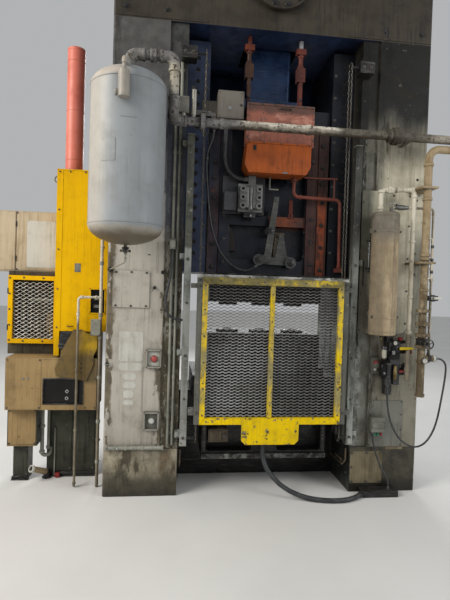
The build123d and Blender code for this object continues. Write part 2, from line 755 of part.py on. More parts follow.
with BuildPart() as riser_pipe:
    with BuildLine() as riser_path:
        FilletPolyline((1600, HEADER_Y, 1130), (1600, HEADER_Y, 3745), (1850, HEADER_Y, 3745), radius=115)
    with BuildSketch(Plane(origin=(1600, HEADER_Y, 1130), z_dir=(0, 0, 1))):
        Circle(40)
    sweep(path=riser_path.wires()[0])
    for ring_z in (1640, 1760, 1880, 2020):
        with BuildSketch(Plane.XY.offset(ring_z)):
            with Locations((1600, HEADER_Y)):
                Circle(70)
        extrude(amount=34)
    with BuildSketch(Plane.YZ.offset(1600)):
        with Locations((HEADER_Y, 1530)):
            Circle(34)
    extrude(amount=160)
    for clamp_z in (2535, 3325):
        with BuildSketch(Plane.XY.offset(clamp_z)):
            with Locations((1598, -805)):
                Rectangle(180, 310)
        extrude(amount=20)
riser_pipe.part.label = "riser_pipe"
export_step(riser_pipe.part, "parts/riser_pipe.step")

with BuildPart() as air_service_unit:
    with BuildSketch(Plane.XZ.offset(HALF_D)):
        with Locations((1330, 1420)):
            Rectangle(70, 640)
    extrude(amount=80)
    with BuildSketch(Plane.XZ.offset(HALF_D + 80)):
        with Locations((1330, 1640), (1345, 1500)):
            Rectangle(110, 90)
    extrude(amount=110)
    with BuildSketch(Plane.XY.offset(1230)):
        with Locations((1376, -790), (1290, -790)):
            Circle(40)
    extrude(amount=230)
air_service_unit.part.label = "air_service_unit"
export_step(air_service_unit.part, "parts/air_service_unit.step")

with BuildPart() as wiring_boxes:
    # indicator boxes on the left upright
    with BuildSketch(Plane.XZ.offset(HALF_D)):
        with Locations((-1222, 1455), (-1232, 800)):
            Rectangle(156, 190)
    extrude(amount=34)
    with BuildSketch(Plane.XZ.offset(HALF_D + 34)):
        with Locations((-1222, 1455), (-1232, 800)):
            Rectangle(120, 154)
    extrude(amount=-24, mode=Mode.SUBTRACT)
    # backing sheet and box on the right upright
    with BuildSketch(Plane.XZ.offset(HALF_D)):
        with Locations((1350, 764)):
            Rectangle(390, 510)
    extrude(amount=6)
    with BuildSketch(Plane.XZ.offset(HALF_D)):
        with Locations((1232, 767)):
            Rectangle(150, 160)
    extrude(amount=85)
    # stop button box
    with BuildSketch(Plane.XZ.offset(HALF_D)):
        with Locations((1182, 1413)):
            Rectangle(84, 176)
    extrude(amount=55)
    with BuildSketch(Plane.XZ.offset(HALF_D + 55)):
        with Locations((1182, 1420)):
            Circle(32)
    extrude(amount=32)
wiring_boxes.part.label = "wiring_boxes"
export_step(wiring_boxes.part, "parts/wiring_boxes.step")

# ---------------------------------------------------------------- floor hose
hose_points = [
    (-35, -650, 550), (-35, -650, 415), (8, -676, 285), (95, -722, 175), (225, -786, 88),
    (385, -848, 38), (560, -905, 26), (745, -925, 26), (905, -890, 27), (1010, -815, 31),
]
hose_radii = []
for i in range(1, len(hose_points) - 1):
    run_a = Vector(*hose_points[i]) - Vector(*hose_points[i - 1])
    run_b = Vector(*hose_points[i + 1]) - Vector(*hose_points[i])
    turn = run_a.get_angle(run_b)
    hose_radii.append(0.45 * min(run_a.length, run_b.length) / tan(radians(turn) / 2))
print("hose radii", [round(r) for r in hose_radii])
with BuildPart() as floor_hose:
    with BuildLine() as hose_path:
        FilletPolyline(*hose_points, radius=hose_radii)
    with BuildSketch(Plane(origin=hose_points[0], z_dir=(0, 0, -1))):
        Circle(HOSE_D / 2)
    sweep(path=hose_path.wires()[0])
floor_hose.part.label = "floor_hose"
export_step(floor_hose.part, "parts/floor_hose.step")
print("hose length", round(hose_path.wires()[0].length, 1), "volume", round(floor_hose.part.volume),
      "section x length", round(hose_path.wires()[0].length * 3.14159265 * HOSE_D ** 2 / 4))



# the other hoses and cables that hang free, each a tube of straight runs and tangent arcs
def bend_radii(points):
    radii = []
    for k in range(1, len(points) - 1):
        before = Vector(*points[k]) - Vector(*points[k - 1])
        after = Vector(*points[k + 1]) - Vector(*points[k])
        radii.append(0.45 * min(before.length, after.length) / tan(radians(before.get_angle(after)) / 2))
    return radii


def describe(name, wire, part, diameter, radii):
    print(name, "radii", [round(r) for r in radii], "length", round(wire.length, 1), "volume", round(part.volume),
          "section x length", round(wire.length * 3.14159265 * diameter ** 2 / 4))


# from the control box to the valve block
valve_hose_points = [
    (-515, -478, 4034.5), (-515, -478, 3920), (-525, -478, 3750), (-520, -478, 3581), (-485, -478, 3501),
    (-423, -478, 3441), (-342, -478, 3408), (-255, -478, 3408),
]
with BuildPart() as valve_hose:
    with BuildLine() as valve_hose_path:
        FilletPolyline(*valve_hose_points, radius=bend_radii(valve_hose_points))
    with BuildSketch(Plane(origin=valve_hose_points[0], z_dir=(0, 0, -1))):
        Circle(24)
    sweep(path=valve_hose_path.wires()[0])
valve_hose.part.label = "valve_hose"
export_step(valve_hose.part, "parts/valve_hose.step")
describe("valve_hose", valve_hose_path.wires()[0], valve_hose.part, 48, bend_radii(valve_hose_points))

# from the clamp on the slide down in a loop to the ejector lever
slide_hose_points = [
    (-645, -440, 3940), (-645, -440, 3850), (-700, -440, 3735), (-722, -440, 3600), (-708, -440, 3420),
    (-689, -441, 3205), (-668, -442, 3019), (-634, -444, 2850), (-580, -448, 2690), (-500, -454, 2550),
    (-395, -460, 2455), (-285, -467, 2412), (-205, -470, 2420), (-150, -470, 2458),
]
with BuildPart() as slide_hose:
    with BuildLine() as slide_hose_path:
        FilletPolyline(*slide_hose_points, radius=bend_radii(slide_hose_points))
    with BuildSketch(Plane(origin=slide_hose_points[0], z_dir=(0, 0, -1))):
        Circle(12)
    sweep(path=slide_hose_path.wires()[0])
slide_hose.part.label = "slide_hose"
export_step(slide_hose.part, "parts/slide_hose.step")
describe("slide_hose", slide_hose_path.wires()[0], slide_hose.part, 24, bend_radii(slide_hose_points))

# beside the left guide post
post_hose_points = [
    (-1062, -700, 2600), (-1062, -700, 2450), (-1078, -700, 2290), (-1110, -700, 2150), (-1122, -700, 2030),
    (-1092, -700, 1925), (-1020, -700, 1868), (-935, -700, 1868),
]
with BuildPart() as post_hose:
    with BuildLine() as post_hose_path:
        FilletPolyline(*post_hose_points, radius=bend_radii(post_hose_points))
    with BuildSketch(Plane(origin=post_hose_points[0], z_dir=(0, 0, -1))):
        Circle(13)
    sweep(path=post_hose_path.wires()[0])
post_hose.part.label = "post_hose"
export_step(post_hose.part, "parts/post_hose.step")
describe("post_hose", post_hose_path.wires()[0], post_hose.part, 26, bend_radii(post_hose_points))

# from the air service unit in a hanging loop to the stub of the riser pipe
air_hose_points = [
    (1290, -790, 1230), (1290, -790, 1110), (1299, -794, 980), (1325, -799, 850), (1375, -806, 730),
    (1450, -814, 625), (1545, -824, 562), (1640, -836, 552), (1725, -850, 608), (1790, -866, 725),
    (1828, -882, 880), (1850, -893, 1060), (1872, -899, 1230), (1887, -900, 1360), (1888, -900, 1457),
    (1861, -900, 1503), (1815, -900, 1530), (1760, -900, 1530),
]
with BuildPart() as air_hose:
    with BuildLine() as air_hose_path:
        FilletPolyline(*air_hose_points, radius=bend_radii(air_hose_points))
    with BuildSketch(Plane(origin=air_hose_points[0], z_dir=(0, 0, -1))):
        Circle(10)
    sweep(path=air_hose_path.wires()[0])
air_hose.part.label = "air_hose"
export_step(air_hose.part, "parts/air_hose.step")
describe("air_hose", air_hose_path.wires()[0], air_hose.part, 20, bend_radii(air_hose_points))

# from the wiring box to the channel on the floor
box_cable_points = [
    (1185, -700, 687), (1185, -700, 610), (1201, -702, 530), (1228, -706, 440), (1262, -712, 350),
    (1304, -720, 265), (1345, -732, 192), (1368, -740, 130), (1368, -740, 64),
]
with BuildPart() as box_cable:
    with BuildLine() as box_cable_path:
        FilletPolyline(*box_cable_points, radius=bend_radii(box_cable_points))
    with BuildSketch(Plane(origin=box_cable_points[0], z_dir=(0, 0, -1))):
        Circle(9)
    sweep(path=box_cable_path.wires()[0])
box_cable.part.label = "box_cable"
export_step(box_cable.part, "parts/box_cable.step")
describe("box_cable", box_cable_path.wires()[0], box_cable.part, 18, bend_radii(box_cable_points))

# channel at the right foot with the nipple that takes the hose
hose_end = Vector(*hose_points[-1])
hose_dir = (hose_end - Vector(*hose_points[-2])).normalized()
with BuildPart() as base_channel:
    with BuildSketch(Plane.YZ.offset(1060)):
        with Locations((-740, 32)):
            Rectangle(150, 64)
        with Locations((-740, 32)):
            Rectangle(134, 48, mode=Mode.SUBTRACT)
    extrude(amount=390)
    with BuildSketch(Plane.YZ.offset(1060)):
        with Locations((-740, 32)):
            Rectangle(150, 64)
    extrude(amount=40)
    with BuildSketch(Plane(origin=hose_end, z_dir=hose_dir)):
        Circle(30)
    extrude(amount=80)
base_channel.part.label = "base_channel"
export_step(base_channel.part, "parts/base_channel.step")

# ---------------------------------------------------------------- feeder unit, left
with BuildPart() as feeder_casing:
    with BuildSketch(Plane.XZ.offset(300)):
        with BuildLine():
            Polyline(
                (-2318, 3450), (-1725, 3450), (-1725, 1690), (-2262, 1690), (-2262, 1420),
                (-2318, 1420), close=True,
            )
        make_face()
    extrude(amount=-450)
    with BuildSketch(Plane.XZ.offset(300)):
        with Locations((-1860, 2025)):
            Rectangle(146, 255)
    extrude(amount=-60, mode=Mode.SUBTRACT)
feeder_casing.part.label = "feeder_casing"
export_step(feeder_casing.part, "parts/feeder_casing.step")

with BuildPart() as feeder_cylinder:
    with BuildSketch(Plane.XY.offset(3450)):
        with Locations((-2190, -50)):
            Circle(97)
    extrude(amount=1400)
    fillet(feeder_cylinder.faces().sort_by(Axis.Z)[-1].edges(), 20)
feeder_cylinder.part.label = "feeder_cylinder"
export_step(feeder_cylinder.part, "parts/feeder_cylinder.step")

with BuildPart() as feeder_chute:
    with BuildSketch(Plane.YZ.offset(-2255)):
        with BuildLine():
            Polyline((-285, 1690), (100, 1690), (100, 1405), (-200, 1405), (-285, 1450), close=True)
        make_face()
    extrude(amount=410)
feeder_chute.part.label = "feeder_chute"
export_step(feeder_chute.part, "parts/feeder_chute.step")

with BuildPart() as feeder_cabinet:
    with BuildSketch(Plane.XZ):
        with Locations((-2735, 2676)):
            Rectangle(820, 680)
    extrude(amount=-450)
    with BuildSketch(Plane.XZ):
        with Locations((-2820, 2676)):
            Rectangle(6, 680)
    extrude(amount=-12, mode=Mode.SUBTRACT)
feeder_cabinet.part.label = "feeder_cabinet"
export_step(feeder_cabinet.part, "parts/feeder_cabinet.step")

with BuildPart() as feeder_body:
    with BuildSketch(Plane.XZ.offset(50)):
        with Locations((-2600, 1868)):
            Rectangle(550, 936)
    extrude(amount=-480)
    with BuildSketch(Plane.XZ.offset(50)):
        with Locations((-2600, 1930)):
            Rectangle(420, 620)
    extrude(amount=-220, mode=Mode.SUBTRACT)
feeder_body.part.label = "feeder_body"
export_step(feeder_body.part, "parts/feeder_body.step")

with BuildPart() as feeder_guard_frame:
    with BuildSketch(Plane.XZ.offset(95)):
        with Locations((-2597, 1905)):
            Rectangle(545, 762)
            Rectangle(445, 662, mode=Mode.SUBTRACT)
    extrude(amount=-45)
feeder_guard_frame.part.label = "feeder_guard_frame"
export_step(feeder_guard_frame.part, "parts/feeder_guard_frame.step")

with BuildPart() as feeder_guard_mesh:
    with BuildSketch(Plane.XZ.offset(75)):
        with Locations((-2597, 1905)):
            Rectangle(444.5, 661.5)
    extrude(amount=-4)
feeder_guard_mesh.part.label = "feeder_guard_mesh"
export_step(feeder_guard_mesh.part, "parts/feeder_guard_mesh.step")

with BuildPart() as feeder_console:
    with BuildSketch(Plane.XZ.offset(350)):
        with BuildLine():
            Polyline((-2800, 834), (-1845, 834), (-1845, 1400), (-2800, 1400), close=True)
        make_face()
    extrude(amount=-450)
    with BuildSketch(Plane.XZ.offset(350)):
        with Locations((-2196, 1036)):
            Rectangle(414, 270)
    extrude(amount=-25, mode=Mode.SUBTRACT)
feeder_console.part.label = "feeder_console"
export_step(feeder_console.part, "parts/feeder_console.step")

with BuildPart() as feeder_pedestals:
    # left, a box on a narrower block; right, a wide sheet-metal base
    with BuildSketch(Plane.XY):
        with Locations((-2680, -55)):
            Rectangle(160, 190)
    extrude(amount=409)
    with BuildSketch(Plane.XY.offset(409)):
        with Locations((-2642, -95)):
            Rectangle(314, 310)
    extrude(amount=425)
    with BuildSketch(Plane.XY):
        with Locations((-2150, 20)):
            Rectangle(540, 160)
    extrude(amount=834)
feeder_pedestals.part.label = "feeder_pedestals"
export_step(feeder_pedestals.part, "parts/feeder_pedestals.step")

with BuildPart() as feeder_pipes:
    with BuildLine() as thin_path:
        FilletPolyline((-1812, -390, 2072), (-2048, -390, 2068), (-2052, -390, 10), radius=35)
    with BuildSketch(Plane(origin=(-1812, -390, 2072), z_dir=(-1, 0, -0.017))):
        Circle(13)
    sweep(path=thin_path.wires()[0])
    with BuildSketch(Plane.XY.offset(4)):
        with Locations((-1812, -390)):
            Circle(17)
    extrude(amount=3290)
    with BuildSketch(Plane.XZ.offset(373)):
        with Locations((-1855, 1747)):
            Rectangle(104, 174)
    extrude(amount=60)
feeder_pipes.part.label = "feeder_pipes"
export_step(feeder_pipes.part, "parts/feeder_pipes.step")
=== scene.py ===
import bpy
import bmesh
import math
import random
from mathutils import Matrix, Vector


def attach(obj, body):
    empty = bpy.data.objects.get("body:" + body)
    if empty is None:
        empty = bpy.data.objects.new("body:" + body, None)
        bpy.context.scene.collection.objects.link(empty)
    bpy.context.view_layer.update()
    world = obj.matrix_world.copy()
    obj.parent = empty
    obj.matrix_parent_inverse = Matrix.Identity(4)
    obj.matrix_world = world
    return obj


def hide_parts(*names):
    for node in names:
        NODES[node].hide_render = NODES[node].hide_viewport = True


# Cold forging press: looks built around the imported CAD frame. Metres, +X right
# of a person facing the gate, +Y into the press, +Z up.

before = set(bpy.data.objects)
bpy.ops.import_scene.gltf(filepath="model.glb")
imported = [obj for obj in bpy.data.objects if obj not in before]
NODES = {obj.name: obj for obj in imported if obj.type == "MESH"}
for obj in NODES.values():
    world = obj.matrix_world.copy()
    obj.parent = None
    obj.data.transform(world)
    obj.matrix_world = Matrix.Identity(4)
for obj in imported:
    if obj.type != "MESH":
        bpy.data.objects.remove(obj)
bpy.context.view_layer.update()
SCENE = bpy.context.scene
RNG = random.Random(41)


# ------------------------------------------------------------------ camera
def make_camera():
    yaw, pitch, roll = math.radians(6.94), math.radians(1.40), math.radians(1.78)
    cy, sy, cp, sp = math.cos(yaw), math.sin(yaw), math.cos(pitch), math.sin(pitch)
    cr, sr = math.cos(roll), math.sin(roll)
    fwd = Vector((sy * cp, cy * cp, -sp))
    right = Vector((cy, -sy, 0.0))
    down = fwd.cross(right)
    r2 = right * cr - down * sr
    d2 = fwd.cross(r2)
    data = bpy.data.cameras.new("camera")
    data.sensor_width = 36.0
    data.sensor_fit = "AUTO"
    data.lens = 28.47
    data.clip_end = 200.0
    cam = bpy.data.objects.new("camera", data)
    SCENE.collection.objects.link(cam)
    m = Matrix((r2, -d2, -fwd)).transposed().to_4x4()
    m.translation = Vector((-1.10, -5.65, 2.2104))
    cam.matrix_world = m
    SCENE.camera = cam


make_camera()

# ------------------------------------------------------------------ the free hoses
CORDS = {
    "floor_hose": ("press_frame", 50, 1424.2, [
        (-35, -650, 550), (-35, -650, 415), (8, -676, 285), (95, -722, 175), (225, -786, 88), (385, -848, 38),
        (560, -905, 26), (745, -925, 26), (905, -890, 27), (1010, -815, 31)]),
    "valve_hose": ("press_frame", 48, 797.9, [
        (-515, -478, 4034.5), (-515, -478, 3920), (-525, -478, 3750), (-520, -478, 3581), (-485, -478, 3501),
        (-423, -478, 3441), (-342, -478, 3408), (-255, -478, 3408)]),
    "slide_hose": ("slide_body", 24, 1839.5, [
        (-645, -440, 3940), (-645, -440, 3850), (-700, -440, 3735), (-722, -440, 3600), (-708, -440, 3420),
        (-689, -441, 3205), (-668, -442, 3019), (-634, -444, 2850), (-580, -448, 2690), (-500, -454, 2550),
        (-395, -460, 2455), (-285, -467, 2412), (-205, -470, 2420), (-150, -470, 2458)]),
    "post_hose": ("press_frame", 26, 853.9, [
        (-1062, -700, 2600), (-1062, -700, 2450), (-1078, -700, 2290), (-1110, -700, 2150), (-1122, -700, 2030),
        (-1092, -700, 1925), (-1020, -700, 1868), (-935, -700, 1868)]),
    "air_hose": ("press_frame", 20, 1980.5, [
        (1290, -790, 1230), (1290, -790, 1110), (1299, -794, 980), (1325, -799, 850), (1375, -806, 730),
        (1450, -814, 625), (1545, -824, 562), (1640, -836, 552), (1725, -850, 608), (1790, -866, 725),
        (1828, -882, 880), (1850, -893, 1060), (1872, -899, 1230), (1887, -900, 1360), (1888, -900, 1457),
        (1861, -900, 1503), (1815, -900, 1530), (1760, -900, 1530)]),
    "box_cable": ("press_frame", 18, 660.1, [
        (1185, -700, 687), (1185, -700, 610), (1201, -702, 530), (1228, -706, 440), (1262, -712, 350),
        (1304, -720, 265), (1345, -732, 192), (1368, -740, 130), (1368, -740, 64)]),
}


def cord_curve(name, points, diameter):
    line = bpy.data.curves.new(name, "CURVE")
    line.dimensions = "3D"
    spline = line.splines.new("NURBS")
    spline.points.add(len(points) - 1)
    for point, place in zip(spline.points, points):
        point.co = (*place, 1.0)
        point.radius = diameter / 2
    spline.order_u = 3
    spline.use_endpoint_u = True
    spline.resolution_u = 10
    line.resolution_u = 10
    line.bevel_depth = 1.0
    line.bevel_resolution = 5
    line.use_fill_caps = True
    obj = bpy.data.objects.new(name, line)
    SCENE.collection.objects.link(obj)
    return obj


CORD_OBJECTS = []
for cord_name, (cord_body, width, long, route) in CORDS.items():
    route = [(x / 1000.0, y / 1000.0, z / 1000.0) for x, y, z in route]
    cord = cord_curve(cord_name + "_line", route, width / 1000.0)
    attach(cord, cord_body)
    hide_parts(cord_name)
    CORD_OBJECTS.append(cord)


# ------------------------------------------------------------------ material nodes
TONE = [0.78]


def lin(rgb):
    out = []
    for c in rgb:
        c = c / 255.0
        out.append(TONE[0] * (c / 12.92 if c <= 0.04045 else ((c + 0.055) / 1.055) ** 2.4))
    return (*out, 1.0)


class Mat:
    """A small builder of one procedural material over object coordinates."""

    def __init__(self, name, seed=0.0):
        self.m = bpy.data.materials.new(name)
        self.m.use_nodes = True
        self.nt = self.m.node_tree
        self.nt.nodes.clear()
        self.out = self.nt.nodes.new("ShaderNodeOutputMaterial")
        self.b = self.nt.nodes.new("ShaderNodeBsdfPrincipled")
        self.nt.links.new(self.b.outputs["BSDF"], self.out.inputs["Surface"])
        self.co = self.nt.nodes.new("ShaderNodeTexCoord").outputs["Object"]
        sep = self.nt.nodes.new("ShaderNodeSeparateXYZ")
        self.nt.links.new(self.co, sep.inputs[0])
        self.x, self.y, self.z = sep.outputs[0], sep.outputs[1], sep.outputs[2]
        self.seed = seed
        self._ao = {}
        self._edge = {}

    def put(self, sock, v):
        if isinstance(v, bpy.types.NodeSocket):
            self.nt.links.new(v, sock)
        elif v is not None:
            if isinstance(v, (tuple, list)) and sock.type == "RGBA" and len(v) == 3:
                v = lin(v)
            sock.default_value = v

    def coords(self, stretch=(1, 1, 1), shift=0.0):
        n = self.nt.nodes.new("ShaderNodeMapping")
        self.nt.links.new(self.co, n.inputs["Vector"])
        n.inputs["Location"].default_value = (self.seed + shift, self.seed * 0.7 - shift, self.seed * 1.3)
        n.inputs["Scale"].default_value = stretch
        return n.outputs["Vector"]

    def noise(self, scale, detail=5, rough=0.55, stretch=(1, 1, 1), dist=0.0, shift=0.0):
        n = self.nt.nodes.new("ShaderNodeTexNoise")
        self.put(n.inputs["Vector"], self.coords(stretch, shift))
        n.inputs["Scale"].default_value = scale
        n.inputs["Detail"].default_value = detail
        n.inputs["Roughness"].default_value = rough
        n.inputs["Distortion"].default_value = dist
        return n.outputs["Fac"]

    def cells(self, scale, stretch=(1, 1, 1), shift=0.0, feature="F1"):
        n = self.nt.nodes.new("ShaderNodeTexVoronoi")
        n.feature = feature
        self.put(n.inputs["Vector"], self.coords(stretch, shift))
        n.inputs["Scale"].default_value = scale
        return n.outputs["Distance"]

    def rng(self, x, a, b, c=0.0, d=1.0, smooth=False):
        n = self.nt.nodes.new("ShaderNodeMapRange")
        if smooth:
            n.interpolation_type = "SMOOTHSTEP"
        n.clamp = True
        self.put(n.inputs["Value"], x)
        for k, v in (("From Min", a), ("From Max", b), ("To Min", c), ("To Max", d)):
            n.inputs[k].default_value = v
        return n.outputs["Result"]

    def op(self, kind, a, b=0.0, clamp=False):
        n = self.nt.nodes.new("ShaderNodeMath")
        n.operation = kind
        n.use_clamp = clamp
        self.put(n.inputs[0], a)
        self.put(n.inputs[1], b)
        return n.outputs[0]

    def add(self, a, b, clamp=True):
        return self.op("ADD", a, b, clamp)

    def mul(self, a, b):
        return self.op("MULTIPLY", a, b)

    def top(self, a, b):
        return self.op("MAXIMUM", a, b)

    def inv(self, a):
        return self.op("SUBTRACT", 1.0, a)

    def mix(self, f, a, b, kind="MIX"):
        n = self.nt.nodes.new("ShaderNodeMix")
        n.data_type = "RGBA"
        n.blend_type = kind
        n.clamp_factor = True
        self.put(n.inputs[0], f)
        self.put(n.inputs[6], lin(a) if isinstance(a, (tuple, list)) and len(a) == 3 else a)
        self.put(n.inputs[7], lin(b) if isinstance(b, (tuple, list)) and len(b) == 3 else b)
        return n.outputs[2]

    def mixf(self, f, a, b):
        n = self.nt.nodes.new("ShaderNodeMix")
        n.data_type = "FLOAT"
        n.clamp_factor = True
        self.put(n.inputs[0], f)
        self.put(n.inputs[2], a)
        self.put(n.inputs[3], b)
        return n.outputs[0]

    def ao(self, dist=0.12):
        if dist not in self._ao:
            n = self.nt.nodes.new("ShaderNodeAmbientOcclusion")
            n.samples = 4
            n.inputs["Distance"].default_value = dist
            self._ao[dist] = n.outputs["AO"]
        return self._ao[dist]

    def edge(self, radius=0.006):
        """1 on sharp edges, 0 on flats."""
        if radius not in self._edge:
            bev = self.nt.nodes.new("ShaderNodeBevel")
            bev.samples = 4
            bev.inputs["Radius"].default_value = radius
            geo = self.nt.nodes.new("ShaderNodeNewGeometry")
            dot = self.nt.nodes.new("ShaderNodeVectorMath")
            dot.operation = "DOT_PRODUCT"
            self.nt.links.new(bev.outputs[0], dot.inputs[0])
            self.nt.links.new(geo.outputs["Normal"], dot.inputs[1])
            self._edge[radius] = self.rng(dot.outputs["Value"], 0.995, 0.86, 0.0, 1.0)
        return self._edge[radius]

    def bump(self, height, strength, distance=0.002, below=None):
        n = self.nt.nodes.new("ShaderNodeBump")
        n.inputs["Strength"].default_value = strength
        n.inputs["Distance"].default_value = distance
        self.put(n.inputs["Height"], height)
        if below is not None:
            self.put(n.inputs["Normal"], below)
        return n.outputs["Normal"]

    def end(self, color, rough=0.6, metal=None, normal=None, coat=None, spec=None):
        self.put(self.b.inputs["Base Color"], color)
        self.put(self.b.inputs["Roughness"], rough)
        if metal is not None:
            self.put(self.b.inputs["Metallic"], metal)
        if normal is not None:
            self.put(self.b.inputs["Normal"], normal)
        if coat is not None:
            self.b.inputs["Coat Weight"].default_value = coat
        if spec is not None:
            self.b.inputs["Specular IOR Level"].default_value = spec
        return self.m


def paint(name, base, other, grime_and_shade=(62, 56, 46), grime_and_shade_amount=0.45, streak=0.25, streak_color=None,
          chip=0.25, chip_color=(74, 62, 52), metal_color=(112, 108, 102), edge=0.6, edge_radius=0.006,
          low=None, rough=(0.38, 0.72), scale=1.0, seed=0.0, bump=0.35, zones=(), ao=0.15, oil=0.0, spec=0.22):
    """Weathered paint: large variation, vertical streaks, grime blotches and dirt low down, painted shade in corners
    from an ambient occlusion term, chips to rust and metal, more of them on edges. zones are (mask function, colour,
    other colour, amount)."""
    t = Mat(name, seed)
    big = t.rng(t.noise(1.1 * scale, 3, 0.6), 0.34, 0.66)
    mid = t.noise(4.5 * scale, 7, 0.62, shift=3.1)
    fine = t.noise(26 * scale, 8, 0.65, shift=7.7)
    col = t.mix(t.add(t.mul(big, 0.6), t.mul(t.rng(mid, 0.35, 0.68), 0.4)), base, other)
    # runs down the face, wide ones and thin ones
    runs = t.noise(7.0 * scale, 5, 0.6, stretch=(2.2, 2.2, 0.16), shift=1.9)
    runs = t.mul(t.rng(runs, 0.5, 0.66), t.rng(mid, 0.3, 0.6))
    col = t.mix(t.mul(runs, streak), col, streak_color or grime_and_shade)
    thin = t.noise(22 * scale, 6, 0.65, stretch=(2.6, 2.6, 0.07), shift=4.4)
    thin = t.mul(t.rng(thin, 0.53, 0.63), t.rng(t.noise(2.6 * scale, 4, 0.6, shift=6.6), 0.42, 0.6))
    col = t.mix(t.mul(thin, min(1.0, streak * 1.5)), col, streak_color or grime_and_shade)
    for mask, c1, c2, amount in zones:
        k = mask(t)
        zc = t.mix(t.rng(t.noise(9, 6, 0.65, shift=5.3), 0.4, 0.62), c1, c2)
        col = t.mix(t.mul(k, amount), col, zc)
    # grime and painted shade: the ambient occlusion term darkens corners and creases as painted shade, noise adds grime
    # blotches, and low down is dirtier
    corner = t.rng(t.ao(ao), 0.95, 0.45)
    g = t.add(t.mul(corner, 0.85), t.mul(t.rng(mid, 0.52, 0.78), 0.8))
    if low is not None:
        z0, z1, amount = low
        lowmask = t.mul(t.rng(t.add(t.z, t.mul(t.add(fine, -0.5, False), 0.25), False), z1, z0, 0, 1, True), amount)
        g = t.add(g, lowmask)
    g = t.mul(g, t.rng(fine, 0.25, 0.7, 0.45, 1.0))
    col = t.mix(t.mul(g, grime_and_shade_amount * 1.6), col, grime_and_shade)
    # chips
    flake = t.noise(13 * scale, 9, 0.72, shift=11.3)
    lim = 0.68 - 0.12 * chip
    mask = t.rng(flake, lim, lim + 0.015)
    if edge > 0:
        e = t.mul(t.edge(edge_radius), t.rng(flake, 0.40, 0.56))
        mask = t.top(mask, t.mul(e, edge))
    bare = t.mix(t.rng(fine, 0.42, 0.6), chip_color, metal_color)
    col = t.mix(t.mul(mask, min(1.0, 0.5 + chip)), col, bare)
    dark_speck = t.rng(t.noise(70 * scale, 4, 0.7, shift=2.2), 0.66, 0.72)
    col = t.mix(t.mul(dark_speck, 0.35), col, grime_and_shade)
    r = t.mixf(t.rng(mid, 0.3, 0.7), rough[0], rough[1])
    if oil > 0:
        wet = t.mul(t.rng(t.noise(3.1, 4, 0.6, shift=9.1), 0.5, 0.62), oil)
        col = t.mix(t.mul(wet, 0.6), col, (18, 17, 16))
        r = t.mixf(wet, r, 0.16)
    n = t.bump(t.add(t.mul(fine, 0.35), t.mul(t.inv(mask), 0.65), False), bump, 0.0025)
    return t.end(col, r, None, n, spec=spec)


def steel(name, base, other, rust=(88, 54, 34), rust_amount=0.2, grime_and_shade=(24, 22, 21), grime_and_shade_amount=0.5, rough=(0.28, 0.6),
          metal=0.85, scale=1.0, seed=0.0, bump=0.3, scratch=0.3, edge=0.5, edge_color=(170, 168, 162), ao=0.12, oil=0.0,
          zones=(), low=None):
    """Worn bare or blackened metal: blotches, scratches, oil, rust and polished edges."""
    t = Mat(name, seed)
    mid = t.noise(5.0 * scale, 7, 0.62, shift=4.1)
    big = t.noise(1.3 * scale, 4, 0.6, shift=0.7)
    fine = t.noise(38 * scale, 7, 0.68, shift=6.3)
    lines = t.noise(60 * scale, 4, 0.6, stretch=(0.12, 1.0, 1.0), shift=1.2)
    col = t.mix(t.add(t.mul(t.rng(mid, 0.36, 0.66), 0.6), t.mul(t.rng(big, 0.4, 0.6), 0.4)), base, other)
    col = t.mix(t.mul(t.rng(lines, 0.52, 0.68), scratch), col, edge_color)
    for mask, c1, c2, amount in zones:
        k = mask(t)
        zc = t.mix(t.rng(t.noise(9, 6, 0.65, shift=5.3), 0.4, 0.62), c1, c2)
        col = t.mix(t.mul(k, amount), col, zc)
    # grime and painted shade: the ambient occlusion term darkens corners and creases as painted shade, noise adds grime
    # blotches
    corner = t.rng(t.ao(ao), 0.95, 0.4)
    g = t.add(t.mul(corner, 0.9), t.mul(t.rng(big, 0.5, 0.72), 0.6))
    if low is not None:
        z0, z1, amount = low
        g = t.add(g, t.mul(t.rng(t.z, z1, z0, 0, 1, True), amount))
    g = t.mul(g, t.rng(fine, 0.2, 0.65, 0.5, 1.0))
    ru = t.mul(t.rng(t.noise(8 * scale, 8, 0.7, shift=8.8), 0.52, 0.66), rust_amount)
    col = t.mix(ru, col, rust)
    col = t.mix(t.mul(g, grime_and_shade_amount * 1.5), col, grime_and_shade)
    r = t.mixf(t.rng(fine, 0.3, 0.7), rough[0], rough[1])
    met = t.mixf(t.add(ru, t.mul(g, 0.6)), metal, 0.1)
    if edge > 0:
        e = t.mul(t.edge(0.005), t.rng(mid, 0.38, 0.6))
        col = t.mix(t.mul(e, edge), col, edge_color)
    if oil > 0:
        wet = t.mul(t.rng(t.noise(2.6, 4, 0.6, shift=9.1), 0.46, 0.6), oil)
        col = t.mix(t.mul(wet, 0.5), col, (12, 12, 13))
        r = t.mixf(wet, r, 0.14)
    n = t.bump(t.add(fine, t.mul(lines, 0.4), False), bump, 0.0015)
    return t.end(col, r, met, n)


# masks used as zones, each a function of the material builder
def zone_x(a, b, soft=0.05, ragged=0.12, scale=3.0, seed=0.0):
    """Between a and b along X, with a ragged border."""
    def f(t):
        wob = t.mul(t.add(t.noise(scale, 7, 0.66, stretch=(1, 1, 0.55), shift=seed), -0.5, False), ragged * 2)
        x = t.add(t.x, wob, False)
        return t.mul(t.rng(x, a - soft, a + soft, 0, 1, True), t.rng(x, b + soft, b - soft, 0, 1, True))
    return f


